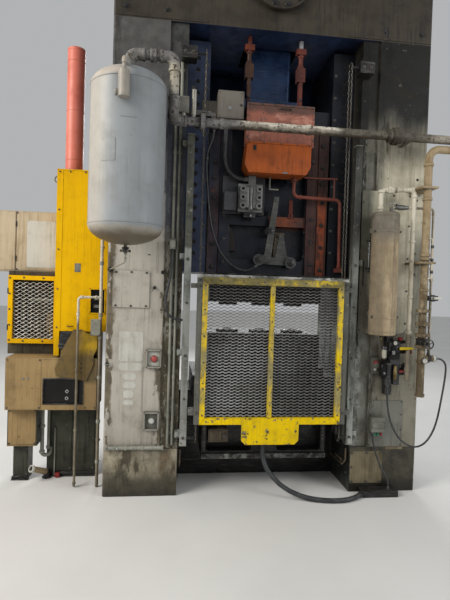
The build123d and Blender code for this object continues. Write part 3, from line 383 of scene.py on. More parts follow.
def zone_z(a, b, soft=0.15, ragged=0.3, scale=2.0, seed=0.0):
    def f(t):
        wob = t.mul(t.add(t.noise(scale, 7, 0.66, stretch=(1.6, 1.6, 0.5), shift=seed), -0.5, False), ragged * 2)
        z = t.add(t.z, wob, False)
        return t.mul(t.rng(z, a - soft, a + soft, 0, 1, True), t.rng(z, b + soft, b - soft, 0, 1, True))
    return f


def zone_y(a, b, soft=0.004):
    return lambda t: t.mul(t.rng(t.y, a - soft, a + soft), t.rng(t.y, b + soft, b - soft))


def both(f, g):
    return lambda t: t.mul(f(t), g(t))


def patches(lo, hi, scale=6.0, seed=0.0, stretch=(1, 1, 1)):
    return lambda t: t.rng(t.noise(scale, 8, 0.7, stretch=stretch, shift=seed), lo, hi)


MATS = {}


def dress(node, mat):
    o = NODES[node]
    if not o.data.materials:
        o.data.materials.append(mat)
    for i in range(len(o.data.materials)):
        o.data.materials[i] = mat


def materials():
    M = MATS
    strip_dark = ((72, 67, 56), (104, 99, 86))
    M["press_left"] = paint(
        "press_left_paint", (196, 190, 179), (180, 173, 161), grime_and_shade=(74, 66, 52), grime_and_shade_amount=0.30, streak=0.20,
        chip=0.30, chip_color=(84, 70, 52), metal_color=(110, 102, 88), low=(0.45, 0.95, 0.35), seed=1.0, bump=0.45,
        zones=[
            (zone_x(-1.135, -0.90, 0.008, 0.06, 7.0, 2.0), (60, 57, 45), (92, 87, 68), 0.97),
            (both(zone_x(-1.145, -1.05, 0.015, 0.05, 4.0, 6.0), zone_z(0.4, 4.0, 0.2, 0.3)), (80, 74, 60), (112, 105, 90), 0.72),
            (both(zone_x(-1.135, -0.90, 0.01, 0.03), patches(0.530, 0.550, 9.0, 3.0, (1, 1, 0.32))), (182, 178, 166), (150, 146, 132), 0.9),
            (both(zone_x(-1.21, -1.08, 0.02, 0.05, 6.0, 4.0), patches(0.555, 0.575, 8.0, 9.0, (1, 1, 0.34))), (66, 60, 46), (96, 88, 70), 0.9),
            (both(zone_x(-1.16, -0.90, 0.015, 0.06, 6.0, 2.0), both(zone_z(0.4, 1.75, 0.1, 0.3), patches(0.42, 0.54, 7.0, 5.0, (1, 1, 0.4)))), (118, 108, 86), (92, 84, 66), 0.9),
            (both(zone_x(-1.13, -0.90, 0.01, 0.03), both(zone_z(0.3, 2.3, 0.1, 0.3), patches(0.545, 0.560, 22.0, 4.0, (1, 1, 0.5)))), (186, 182, 168), (160, 156, 142), 0.9),
            (both(zone_y(-0.67, -0.62, 0.02), both(zone_x(-1.80, -1.645, 0.02, 0.08, 7.0, 8.0), patches(0.470, 0.495, 7.0, 1.0, (1, 1, 0.35)))), (76, 66, 48), (112, 100, 78), 0.9),
            (both(zone_y(-0.60, 0.67, 0.02), patches(0.560, 0.585, 5.0, 6.0, (1, 1, 0.4))), (84, 74, 56), (116, 104, 82), 0.8),
            (both(zone_y(-0.60, 0.67, 0.02), zone_z(-1, 0.9, 0.2, 0.3)), (104, 94, 74), (128, 118, 96), 0.6),
            # painted shade: the upright turns dark grey above 3.4 m, in the shadow above and behind the tank
            (zone_z(3.4, 9.0, 0.5, 0.3), (46, 47, 50), (70, 71, 73), 0.9),
            (both(zone_x(-1.15, -0.90, 0.015, 0.04, 5.0, 3.0), zone_z(2.75, 4.2, 0.2, 0.2)), (104, 110, 126), (74, 78, 92), 0.75),
        ])
    M["press_right"] = paint(
        "press_right_paint", (158, 154, 140), (140, 135, 118), grime_and_shade=(66, 60, 47), grime_and_shade_amount=0.40, streak=0.55,
        streak_color=(92, 82, 62), chip=0.35, chip_color=(78, 66, 50), low=(0.5, 1.1, 0.4), seed=2.3, bump=0.45,
        zones=[
            (both(zone_x(0.90, 1.035, 0.010, 0.03, 5.0, 2.0), zone_z(0.2, 9, 0.1, 0.1)), (20, 20, 21), (36, 36, 35), 0.92),
            (both(zone_x(1.035, 1.22, 0.02, 0.05, 4.0, 7.0), patches(0.40, 0.54, 5.0, 2.0, (1, 1, 0.12))), (96, 94, 84), (124, 122, 110), 0.85),
            (both(zone_x(0.90, 1.10, 0.01, 0.04, 5.0, 3.0), zone_z(1.8, 3.2, 0.2, 0.3)), (44, 42, 37), (60, 57, 50), 0.85),
            (both(zone_x(0.93, 1.16, 0.015, 0.05, 6.0, 8.0), both(zone_z(0.45, 1.78, 0.1, 0.2), patches(0.44, 0.52, 8.0, 5.0, (1, 1, 0.35)))), (196, 198, 190), (120, 120, 112), 0.92),
            (both(zone_x(1.05, 1.24, 0.02, 0.08, 4.0, 1.0), zone_z(0.4, 2.2, 0.3, 0.4)), (104, 102, 92), (132, 130, 118), 0.6),
            (both(zone_x(1.00, 1.14, 0.01, 0.04), patches(0.545, 0.565, 10.0, 4.0, (1, 1, 0.25))), (150, 150, 140), (110, 110, 102), 0.9),
            (both(zone_x(1.12, 1.30, 0.02, 0.06, 6.0, 4.0), patches(0.535, 0.555, 9.0, 9.0, (1, 1, 0.25))), (62, 58, 46), (84, 78, 62), 0.85),
            # painted light: a bright cream patch on the front face between 2.9 and 3.66 m, where light falls
            (both(zone_y(-0.67, -0.60, 0.04), both(zone_x(1.22, 1.80, 0.06, 0.06, 2.0, 5.0), zone_z(2.9, 3.66, 0.16, 0.25))), (240, 232, 208), (220, 210, 182), 0.94),
            (both(zone_x(1.22, 1.80, 0.06, 0.06, 2.0, 5.0), both(zone_z(2.6, 3.8, 0.3, 0.1), patches(0.50, 0.58, 16.0, 3.0, (1, 1, 0.035)))), (150, 142, 118), (176, 168, 146), 0.6),
            # painted shadow: the upright is near black above 4 m
            (zone_z(4.00, 9.0, 0.24, 0.3), (9, 9, 8), (16, 16, 14), 0.98),
        ])
    # crown: dark grimy paint, made darker still as painted shade of the upper bay
    M["crown"] = paint(
        "crown_paint", (74, 67, 55), (58, 53, 46), grime_and_shade=(24, 23, 24), grime_and_shade_amount=0.5, streak=0.5, streak_color=(34, 34, 38),
        chip=0.25, chip_color=(64, 50, 42), metal_color=(92, 90, 88), seed=3.1, oil=0.4,
        # painted shadow: the underside, below 4.95 m, is dark blue
        zones=[(both(zone_y(-0.70, 0.59), zone_z(-9, 4.9506, 0.0004, 0.0)), (46, 62, 98), (32, 45, 74), 0.95)])
    M["bed"] = steel(
        "bed_iron", (12, 12, 13), (7, 7, 8), rust=(70, 50, 34), rust_amount=0.25, grime_and_shade=(9, 9, 9), grime_and_shade_amount=0.6,
        metal=0.35, rough=(0.35, 0.7), seed=4.4, oil=0.7, edge=0.3, scratch=0.12,
        zones=[
            # painted glints: pale patches on the front rail stand for oil catching the light
            (both(zone_y(-0.60, -0.565), both(zone_z(0.36, 0.42, 0.004, 0.0), patches(0.42, 0.56, 9.0, 2.0, (1, 1, 1)))), (150, 150, 146), (84, 84, 82), 0.9),
            (both(zone_x(0.93, 0.955, 0.004, 0.0), patches(0.36, 0.60, 4.0, 6.0, (1, 1, 0.5))), (84, 88, 80), (52, 55, 50), 0.9),
            (zone_x(-9, -0.955, 0.004, 0.0), (194, 184, 160), (156, 146, 122), 0.95),
            (zone_x(0.955, 9, 0.004, 0.0), (92, 88, 72), (64, 60, 46), 0.95),
            (both(zone_x(-9, -0.955, 0.004, 0.0), patches(0.50, 0.56, 5.0, 4.0, (1, 1, 0.25))), (84, 76, 56), (58, 52, 40), 0.85),
            (both(zone_x(-9, -0.955, 0.004, 0.0), patches(0.54, 0.60, 12.0, 8.0, (1, 1, 0.5))), (186, 180, 164), (150, 142, 122), 0.6),
            (both(zone_x(-1.15, -0.955, 0.03, 0.05, 5.0), patches(0.42, 0.55, 6.0, 1.0, (1, 1, 0.4))), (124, 98, 70), (98, 86, 64), 0.8),
            (both(zone_x(-9, -0.955, 0.004, 0.0), zone_z(-1, 0.22, 0.1, 0.14, 3.0)), (74, 70, 55), (98, 92, 74), 0.85),
            (both(zone_x(0.955, 9, 0.004, 0.0), zone_z(-1, 0.12, 0.06, 0.1, 3.0)), (34, 32, 24), (50, 46, 36), 0.85),
        ])
    M["dark_iron"] = steel("dark_iron", (54, 54, 53), (38, 38, 38), rust=(84, 58, 38), rust_amount=0.3, metal=0.5, seed=5.2, oil=0.5)
    M["bolster"] = steel("bolster_iron", (26, 26, 28), (16, 16, 18), rust=(60, 46, 34), rust_amount=0.2, grime_and_shade=(9, 9, 10),
                         metal=0.4, rough=(0.4, 0.7), seed=5.7, oil=0.5, scratch=0.08, edge=0.25, edge_color=(120, 120, 118))
    M["die_steel"] = steel("die_steel", (78, 78, 80), (50, 50, 54), rust_amount=0.12, metal=0.9, rough=(0.22, 0.5), seed=6.1,
                           oil=0.5, scratch=0.45)
    M["holder"] = steel("holder_steel", (34, 35, 38), (23, 24, 27), rust=(84, 62, 44), rust_amount=0.25, metal=0.75,
                        rough=(0.25, 0.55), seed=6.6, oil=0.5, scratch=0.3, edge=0.8)
    # slide: oily dark iron, and its dark bluish colour is also painted shade of the bay
    M["slide"] = steel(
        "slide_iron", (24, 34, 50), (16, 24, 38), rust=(82, 44, 28), rust_amount=0.25, grime_and_shade=(8, 10, 14), grime_and_shade_amount=0.55,
        metal=0.3, rough=(0.3, 0.65), seed=7.2, oil=0.8, scratch=0.08, edge=0.35, edge_color=(96, 92, 88),
        zones=[(both(zone_y(-0.50, -0.10), both(zone_z(2.90, 3.06, 0.01, 0.01), both(zone_x(0.02, 0.46, 0.02, 0.05), patches(0.36, 0.5, 5.0, 1.0)))),
                (150, 74, 34), (104, 56, 34), 0.9)])
    M["strips"] = paint(
        "slide_strip_paint", (96, 68, 58), (66, 50, 48), grime_and_shade=(24, 21, 24), grime_and_shade_amount=0.6, streak=0.7,
        streak_color=(40, 26, 26), chip=0.35, chip_color=(132, 64, 42), metal_color=(84, 66, 62), seed=8.4, bump=0.5,
        zones=[
            # painted shade: the next three zones turn the left strip dark and bluish, as in shadow
            (zone_x(-0.9, -0.30, 0.01, 0.03, 4.0), (48, 58, 78), (56, 56, 68), 0.85),
            (zone_x(-0.565, -0.30, 0.01, 0.03, 4.0), (32, 40, 54), (50, 50, 58), 0.9),
            (both(zone_x(-0.8, -0.55, 0.01, 0.0), zone_z(3.55, 9, 0.2, 0.35)), (44, 54, 74), (54, 54, 66), 0.88),
            (both(zone_x(-0.70, -0.56, 0.01, 0.03, 6.0), patches(0.44, 0.56, 6.0, 3.0, (1, 1, 0.15))), (110, 78, 66), (74, 56, 54), 0.45),
            (both(zone_x(0.565, 0.66, 0.012, 0.03, 3.0), zone_z(2.3, 3.25, 0.12, 0.2)), (182, 92, 58), (132, 72, 50), 0.88),
            (both(zone_x(0.565, 0.66, 0.012, 0.03, 3.0), patches(0.50, 0.58, 9.0, 3.0, (1, 1, 0.3))), (58, 44, 42), (76, 52, 46), 0.8),
            (both(zone_x(0.43, 0.50, 0.01, 0.02, 3.0), zone_z(2.3, 4.0, 0.1, 0.2)), (62, 44, 46), (84, 56, 52), 0.7),
        ])
    # painted shade: the bluish grime colour and the bluish front faces (first zone) stand for cool shadow in the bay
    M["gibs"] = steel("gib_iron", (40, 42, 48), (28, 29, 34), rust=(70, 50, 38), rust_amount=0.18, grime_and_shade=(18, 24, 38),
                      grime_and_shade_amount=0.5, metal=0.4, rough=(0.35, 0.65), seed=9.3, oil=0.4, scratch=0.15, edge=0.5,
                      edge_color=(128, 126, 120),
                      zones=[(zone_y(-0.7, -0.2), (64, 76, 106), (46, 58, 86), 0.85),
                             (zone_x(0.5, 1.2, 0.01, 0.0), (17, 19, 24), (11, 13, 17), 0.92)])
    M["rod"] = steel("rod_iron", (32, 64, 108), (22, 48, 84), rust_amount=0.1, grime_and_shade=(10, 15, 24), metal=0.35, seed=9.9, oil=0.6,
                     scratch=0.1)
    M["lever"] = steel("lever_steel", (102, 102, 96), (72, 74, 74), rust=(86, 60, 44), rust_amount=0.3, grime_and_shade=(18, 18, 21),
                       metal=0.6, seed=10.7, oil=0.4)
    M["hood_upper"] = paint(
        "hood_upper_paint", (176, 108, 88), (150, 96, 82), grime_and_shade=(62, 48, 44), grime_and_shade_amount=0.45, streak=0.45,
        streak_color=(112, 70, 60), chip=0.45, chip_color=(74, 54, 48), metal_color=(120, 104, 98), seed=11.1, bump=0.5,
        zones=[(zone_z(4.12, 9, 0.03, 0.05, 5.0), (76, 60, 54), (98, 74, 66), 0.85),
               (both(zone_z(3.7, 4.3, 0.1, 0.0), patches(0.56, 0.64, 3.0, 7.0)), (112, 82, 74), (92, 66, 60), 0.6),
               # pale pink patches: part faded paint, part painted highlight
               (both(zone_z(3.82, 4.14, 0.04, 0.03), patches(0.54, 0.60, 5.0, 1.0, (0.5, 1, 1.2))), (206, 150, 130), (170, 114, 98), 0.7)])
    M["hood_lower"] = paint(
        "hood_lower_paint", (190, 96, 38), (166, 82, 40), grime_and_shade=(70, 44, 28), grime_and_shade_amount=0.38, streak=0.4,
        streak_color=(104, 60, 36), chip=0.28, chip_color=(70, 48, 38), metal_color=(130, 96, 74), seed=12.7, bump=0.4)
    M["links"] = paint("hood_link_paint", (134, 62, 48), (100, 54, 46), grime_and_shade=(34, 27, 27), grime_and_shade_amount=0.6, streak=0.4,
                       chip=0.5, chip_color=(70, 50, 40), seed=13.9,
                       zones=[(zone_x(-0.5, -0.1, 0.01, 0.0), (66, 48, 34), (38, 31, 29), 0.9),
                              (both(zone_x(-0.5, -0.1, 0.01, 0.0), zone_z(4.78, 9, 0.01, 0.02)), (132, 60, 38), (96, 50, 38), 0.8),
                              (both(zone_x(0.1, 0.5, 0.01, 0.0), zone_z(4.865, 9, 0.004, 0.0)), (206, 208, 212), (168, 170, 176), 0.95)])
    M["hood_pipe"] = paint("hood_pipe_paint", (150, 78, 62), (112, 66, 56), grime_and_shade=(48, 38, 36), grime_and_shade_amount=0.5, chip=0.5, seed=14.2)
    M["control_box"] = paint("control_box_paint", (128, 122, 113), (113, 107, 99), grime_and_shade=(70, 64, 58), grime_and_shade_amount=0.32,
                             streak=0.25, chip=0.15, seed=15.5, bump=0.2)
    M["alloy"] = steel("valve_alloy", (160, 161, 156), (122, 123, 120), rust_amount=0.06, grime_and_shade=(36, 36, 40), grime_and_shade_amount=0.5,
                       metal=0.45, rough=(0.3, 0.5), seed=16.3, scratch=0.2,
                       zones=[(zone_y(-0.413, -0.39), (52, 54, 60), (38, 40, 46), 0.95),
                              (both(zone_x(-0.54, -0.372, 0.003, 0.0), zone_y(-0.51, -0.40)), (92, 92, 98), (70, 70, 76), 0.9)])
    yellow_zones = [
        (both(zone_z(0.90, 9, 0.03, 0.03), patches(0.40, 0.56, 7.0, 2.0, (1, 1, 0.5))), (158, 152, 112), (124, 120, 98), 0.88),
        (both(zone_z(2.24, 9, 0.02, 0.02), patches(0.40, 0.52, 6.0, 5.0, (0.4, 1, 1))), (96, 90, 60), (128, 120, 82), 0.9),
    ]
    M["gate_yellow"] = paint(
        "gate_yellow_paint", (255, 216, 0), (236, 200, 12), grime_and_shade=(84, 76, 46), grime_and_shade_amount=0.42, streak=0.28,
        streak_color=(130, 116, 58), chip=0.8, chip_color=(88, 74, 44), metal_color=(132, 128, 108), seed=17.7, bump=0.45,
        zones=yellow_zones, edge=0.9, edge_radius=0.008, spec=0.10)
    M["feeder_yellow"] = paint(
        "feeder_yellow_paint", (252, 198, 0), (240, 184, 0), grime_and_shade=(140, 104, 22), grime_and_shade_amount=0.28, streak=0.22,
        streak_color=(176, 128, 14), chip=0.12, chip_color=(92, 76, 34), seed=18.2, bump=0.25, low=(1.3, 2.0, 0.55), edge=0.35, spec=0.08)
    M["galv"] = paint(
        "galvanised_steel", (168, 168, 156), (136, 136, 124), grime_and_shade=(58, 56, 50), grime_and_shade_amount=0.42, streak=0.4,
        streak_color=(78, 76, 68), chip=0.45, chip_color=(92, 80, 64), metal_color=(160, 160, 156), seed=19.4, bump=0.35,
        rough=(0.35, 0.6))
    M["posts"] = paint(
        "gate_post_paint", (178, 181, 174), (148, 151, 146), grime_and_shade=(58, 56, 50), grime_and_shade_amount=0.5, streak=0.5,
        streak_color=(84, 82, 72), chip=0.6, chip_color=(92, 80, 64), metal_color=(190, 188, 180), seed=19.9, bump=0.4,
        rough=(0.35, 0.6),
        zones=[(both(zone_x(-1.0, -0.5, 0.01, 0.0), zone_z(2.62, 9, 0.02, 0.04)), (106, 106, 92), (76, 78, 72), 0.92),
               (both(zone_x(0.5, 1.0, 0.01, 0.0), zone_z(2.6, 9, 0.3, 0.4)), (50, 50, 47), (32, 32, 31), 0.93),
               (both(zone_x(0.5, 1.0, 0.01, 0.0), patches(0.50, 0.60, 7.0, 3.0, (1, 1, 0.2))), (66, 66, 60), (84, 82, 74), 0.8)])
    M["gate_angle"] = paint(
        "gate_angle_steel", (112, 112, 104), (88, 88, 82), grime_and_shade=(44, 42, 37), grime_and_shade_amount=0.5, streak=0.4, chip=0.6,
        chip_color=(66, 58, 46), metal_color=(168, 166, 158), seed=20.5, bump=0.5,
        zones=[(both(zone_z(2.315, 9, 0.004, 0.0), patches(0.45, 0.52, 9.0, 3.0, (0.5, 1, 1))), (206, 204, 198), (160, 158, 152), 0.9)])
    M["tank"] = paint(
        "tank_paint", (161, 166, 169), (148, 153, 156), grime_and_shade=(108, 104, 94), grime_and_shade_amount=0.22, streak=0.22,
        streak_color=(132, 128, 118), chip=0.06, chip_color=(112, 98, 80), seed=21.6, bump=0.12, edge=0.25, rough=(0.34, 0.5),
        # painted light: the first zone makes the left side paler and warmer, where light falls
        ao=0.25, zones=[(zone_x(-9, -1.68, 0.07, 0.03, 2.0), (208, 198, 182), (196, 188, 174), 0.6),
                        # bottom head: the next two zones darken it brown, part grime and part painted shade
                        (zone_z(-9, 2.735, 0.02, 0.04, 4.0), (166, 152, 130), (180, 170, 152), 0.6),
                        (zone_z(-9, 2.695, 0.035, 0.05, 4.0), (108, 94, 74), (92, 82, 66), 0.82),
                        # painted light: the top of the upper head is paler and warmer on the left
                        (both(zone_x(-9, -1.50, 0.08, 0.05), zone_z(4.02, 9, 0.02, 0.02)), (214, 198, 180), (204, 190, 174), 0.6),
                        (zone_y(-9, -1.503, 0.002), (178, 165, 147), (150, 142, 130), 0.7)])
    M["receiver"] = paint(
        "receiver_paint", (184, 166, 136), (160, 142, 114), grime_and_shade=(92, 78, 58), grime_and_shade_amount=0.35, streak=0.5,
        streak_color=(122, 102, 76), chip=0.3, chip_color=(98, 80, 58), seed=22.8, bump=0.35,
        zones=[(patches(0.48, 0.60, 5.0, 3.0, (1, 1, 0.5)), (206, 186, 154), (190, 168, 134), 0.6),
               (patches(0.52, 0.60, 9.0, 6.0, (1, 1, 0.3)), (130, 112, 88), (150, 132, 104), 0.55),
               # painted shade: the left side of the receiver is darker
               (zone_x(-9, 1.12, 0.05, 0.04, 3.0), (118, 108, 92), (140, 126, 104), 0.72),
               (zone_z(2.80, 3.6, 0.10, 0.15, 4.0), (100, 96, 88), (126, 120, 110), 0.8)])
    M["riser"] = paint(
        "riser_paint", (182, 162, 128), (152, 132, 100), grime_and_shade=(88, 70, 46), grime_and_shade_amount=0.45, streak=0.5,
        streak_color=(128, 100, 62), chip=0.45, chip_color=(90, 70, 46), seed=23.3, bump=0.35,
        zones=[(zone_z(0.9, 2.45, 0.35, 0.2, 3.0), (92, 80, 61), (68, 60, 47), 0.88),
               (patches(0.50, 0.60, 6.0, 5.0, (1, 1, 0.2)), (206, 190, 156), (120, 98, 66), 0.5)])
    M["header"] = paint(
        "header_paint", (176, 168, 154), (140, 130, 116), grime_and_shade=(44, 39, 34), grime_and_shade_amount=0.5, streak=0.1, chip=1.0,
        chip_color=(46, 41, 36), metal_color=(92, 80, 66), seed=24.9, bump=0.6, scale=2.6,
        zones=[
            (zone_x(-2.5, -0.42, 0.08, 0.15, 2.0), (132, 132, 134), (96, 96, 100), 0.75),
            # painted light: a pale band on the vertical pipe leg, where light falls
            (both(zone_x(-1.20, -1.0, 0.01, 0.0), zone_z(4.02, 4.26, 0.03, 0.08, 5.0)), (206, 198, 180), (172, 162, 142), 0.85),
            (both(zone_x(-1.58, -1.36, 0.03, 0.02, 5.0), zone_z(4.1, 9, 0.02, 0.0)), (146, 142, 138), (112, 110, 106), 0.75),
            (zone_x(0.55, 1.6, 0.12, 0.12, 2.0), (86, 82, 70), (60, 56, 48), 0.8),
            # painted highlight: a pale band along the top of the pipe
            (both(zone_x(-0.42, 0.60, 0.06, 0.1, 3.0), zone_z(3.856, 9, 0.010, 0.05, 9.0)), (236, 228, 212), (190, 180, 160), 0.85),
            # painted shade: the underside of the pipe is dark
            (both(zone_x(-0.55, 1.3, 0.06, 0.1, 3.0), zone_z(-9, 3.826, 0.012, 0.05, 9.0)), (58, 50, 42), (88, 78, 66), 0.9),
        ])
    M["recv_pipes"] = paint(
        "receiver_pipe_paint", (236, 229, 210), (196, 186, 164), grime_and_shade=(84, 70, 50), grime_and_shade_amount=0.42, streak=0.4, chip=0.5,
        chip_color=(88, 70, 48), seed=25.1, bump=0.4,
        zones=[(zone_z(-9, 1.80, 0.05, 0.06, 5.0), (122, 112, 92), (92, 84, 68), 0.85)])
    M["grey_box"] = paint(
        "grey_box_paint", (132, 132, 124), (108, 108, 100), grime_and_shade=(62, 58, 48), grime_and_shade_amount=0.42, streak=0.45,
        streak_color=(84, 76, 58), chip=0.3, seed=26.7, bump=0.25)
    M["box_left"] = paint(
        "indicator_box_paint", (176, 174, 164), (150, 148, 138), grime_and_shade=(80, 74, 60), grime_and_shade_amount=0.4, streak=0.3, chip=0.3,
        seed=27.7, bump=0.25)
    M["cream"] = paint(
        "cabinet_paint", (206, 190, 162), (190, 173, 144), grime_and_shade=(122, 100, 66), grime_and_shade_amount=0.30, streak=0.45,
        streak_color=(150, 128, 92), chip=0.2, chip_color=(110, 88, 58), seed=28.3, bump=0.2)
    M["beige"] = paint(
        "console_paint", (172, 145, 100), (150, 124, 84), grime_and_shade=(86, 68, 42), grime_and_shade_amount=0.36, streak=0.35,
        streak_color=(108, 86, 54), chip=0.28, chip_color=(74, 60, 40), seed=29.2, bump=0.3,
        zones=[(both(zone_x(-2.26, -1.83, 0.03, 0.08, 3.0, 2.0), zone_z(1.13, 1.5, 0.04, 0.08, 3.0)), (92, 82, 58), (112, 98, 68), 0.85)])
    M["chute"] = paint(
        "chute_steel", (136, 111, 58), (110, 90, 54), grime_and_shade=(84, 70, 40), grime_and_shade_amount=0.35, streak=0.5,
        streak_color=(84, 72, 48), chip=0.4, chip_color=(66, 56, 42), seed=30.8, bump=0.35,
        zones=[(both(zone_x(-2.3, -2.12, 0.02, 0.05, 3.0), zone_z(1.5, 1.72, 0.02, 0.06)), (62, 62, 60), (78, 76, 70), 0.0),
               (both(zone_x(-2.02, -1.6, 0.05, 0.06, 4.0), zone_z(1.47, 1.72, 0.06, 0.08, 4.0)), (212, 172, 24), (168, 136, 34), 0.85),
               (both(zone_z(0.9, 1.42, 0.05, 0.08, 4.0), patches(0.46, 0.6, 5.0, 2.0)), (82, 74, 58), (104, 90, 64), 0.75)])
    M["body_dark"] = paint(
        "feeder_body_paint", (104, 92, 70), (76, 68, 54), grime_and_shade=(34, 30, 24), grime_and_shade_amount=0.6, streak=0.5, chip=0.5,
        chip_color=(52, 44, 34), seed=31.9, bump=0.4, oil=0.4)
    M["pedestal"] = paint(
        "pedestal_paint", (86, 88, 74), (62, 63, 54), grime_and_shade=(26, 25, 22), grime_and_shade_amount=0.6, streak=0.5, chip=0.4,
        seed=32.4, bump=0.4, oil=0.3, low=(0.0, 0.5, 0.4))
    M["red"] = paint(
        "cylinder_red_paint", (236, 140, 120), (218, 118, 100), grime_and_shade=(120, 56, 46), grime_and_shade_amount=0.22, streak=0.25,
        streak_color=(150, 56, 44), chip=0.1, chip_color=(90, 52, 42), seed=33.7, bump=0.15, rough=(0.3, 0.5))
    M["guard_dark"] = paint(
        "flywheel_guard_paint", (96, 96, 94), (78, 78, 78), grime_and_shade=(40, 38, 36), grime_and_shade_amount=0.45, streak=0.45, chip=0.3,
        seed=34.6, bump=0.3)
    M["motor"] = paint(
        "motor_paint", (82, 92, 98), (68, 76, 82), grime_and_shade=(34, 34, 34), grime_and_shade_amount=0.45, streak=0.3, chip=0.3, seed=35.5,
        bump=0.3)
    M["unit"] = steel("air_unit_metal", (66, 66, 68), (44, 44, 47), rust_amount=0.15, grime_and_shade=(18, 18, 18), metal=0.55, seed=36.8,
                      scratch=0.2)
    M["mesh"] = steel("mesh_wire", (206, 207, 205), (158, 158, 152), rust=(104, 84, 62), rust_amount=0.35, grime_and_shade=(70, 68, 62),
                      grime_and_shade_amount=0.3, metal=0.35, rough=(0.35, 0.6), seed=37.1, edge=0.0, scratch=0.1, ao=0.02,
                      zones=[(zone_z(1.75, 9, 0.25, 0.3), (120, 118, 112), (90, 84, 76), 0.75),
                             (both(zone_x(0.12, 0.8, 0.25, 0.1), zone_z(0.8, 1.75, 0.1, 0.2)), (104, 103, 100), (72, 70, 66), 0.72),
                             (zone_x(-3.2, -2.0, 0.01, 0.0), (222, 220, 212), (196, 192, 180), 0.8)])
    M["chain"] = steel("chain_steel", (112, 108, 100), (82, 78, 70), rust=(96, 66, 42), rust_amount=0.5, grime_and_shade=(34, 31, 27),
                       metal=0.6, seed=38.6, edge=0.0, scratch=0.1, ao=0.03)
    M["bolt"] = steel("bolt_steel", (104, 102, 96), (74, 72, 68), rust=(88, 60, 40), rust_amount=0.4, grime_and_shade=(34, 32, 29),
                      metal=0.7, seed=39.3, edge=0.3, ao=0.04)
    M["bolt_dark"] = steel("bolt_black", (52, 52, 54), (36, 36, 38), rust=(64, 46, 34), rust_amount=0.3, grime_and_shade=(14, 14, 15),
                           metal=0.5, seed=39.8, edge=0.3, ao=0.04)
    # hose rubber
    t = Mat("hose_rubber", 40.2)
    fine = t.noise(160, 5, 0.6)
    mid = t.noise(9, 6, 0.6, shift=2.0)
    col = t.mix(t.rng(mid, 0.38, 0.66), (30, 32, 36), (62, 64, 66))
    col = t.mix(t.mul(t.rng(t.noise(30, 6, 0.7, shift=4.0), 0.56, 0.66), 0.7), col, (92, 88, 80))
    M["rubber"] = t.end(col, t.mixf(mid, 0.38, 0.66), None, t.bump(fine, 0.25, 0.001))


materials()

for node, key in {
    "left_upright": "press_left", "access_cover": "press_left", "right_upright": "press_right", "crown": "crown",
    "bed": "bed", "bolster": "bolster", "lower_die_holder": "holder", "upper_die_holder": "holder",
    "lower_dies": "die_steel", "upper_dies": "die_steel", "slide": "slide", "slide_strips": "strips",
    "slide_gibs": "gibs", "connecting_rod": "rod", "ejector_lever": "lever", "hood_upper": "hood_upper",
    "hood_lower": "hood_lower", "hood_links": "links", "hood_pipe": "hood_pipe", "control_box": "control_box",
    "valve_block": "alloy", "gate_frame": "gate_yellow", "gate_angle": "gate_angle", "gate_posts": "posts",
    "gate_sheaves": "dark_iron", "gate_chains": "chain", "gate_mesh": "mesh",
    "left_conduits": "galv", "surge_tank_shell": "tank", "surge_tank_heads": "tank",
    "tank_brackets": "galv", "relief_valve": "tank", "surge_pipe": "header", "header_pipe": "header",
    "receiver_shell": "receiver", "receiver_heads": "receiver",
    "receiver_pipes": "recv_pipes", "riser_pipe": "riser", "air_service_unit": "unit", "wiring_boxes": "grey_box",
    "floor_hose": "rubber", "valve_hose": "rubber", "slide_hose": "rubber", "post_hose": "rubber",
    "air_hose": "rubber", "box_cable": "rubber", "base_channel": "dark_iron", "feeder_casing": "feeder_yellow", "feeder_cylinder": "red",
    "feeder_chute": "chute", "feeder_cabinet": "cream", "feeder_body": "body_dark",
    "feeder_guard_frame": "feeder_yellow", "feeder_guard_mesh": "mesh", "feeder_console": "beige",
    "feeder_pedestals": "pedestal", "feeder_pipes": "recv_pipes", "tie_rod_nuts": "bolt_dark",
    "flywheel_guard": "guard_dark", "drive_motor": "motor",
}.items():
    dress(node, MATS[key])
for cord in CORD_OBJECTS:
    cord.data.materials.append(MATS["rubber"])


# ------------------------------------------------------------------ mesh helpers
def axes(d):
    d = Vector(d).normalized()
    u = d.orthogonal().normalized()
    for w in (Vector((1, 0, 0)), Vector((0, 0, 1)), Vector((0, 1, 0))):
        if abs(d.dot(w)) < 0.3:
            u = (w - d * d.dot(w)).normalized()
            break
    return u, d.cross(u), d


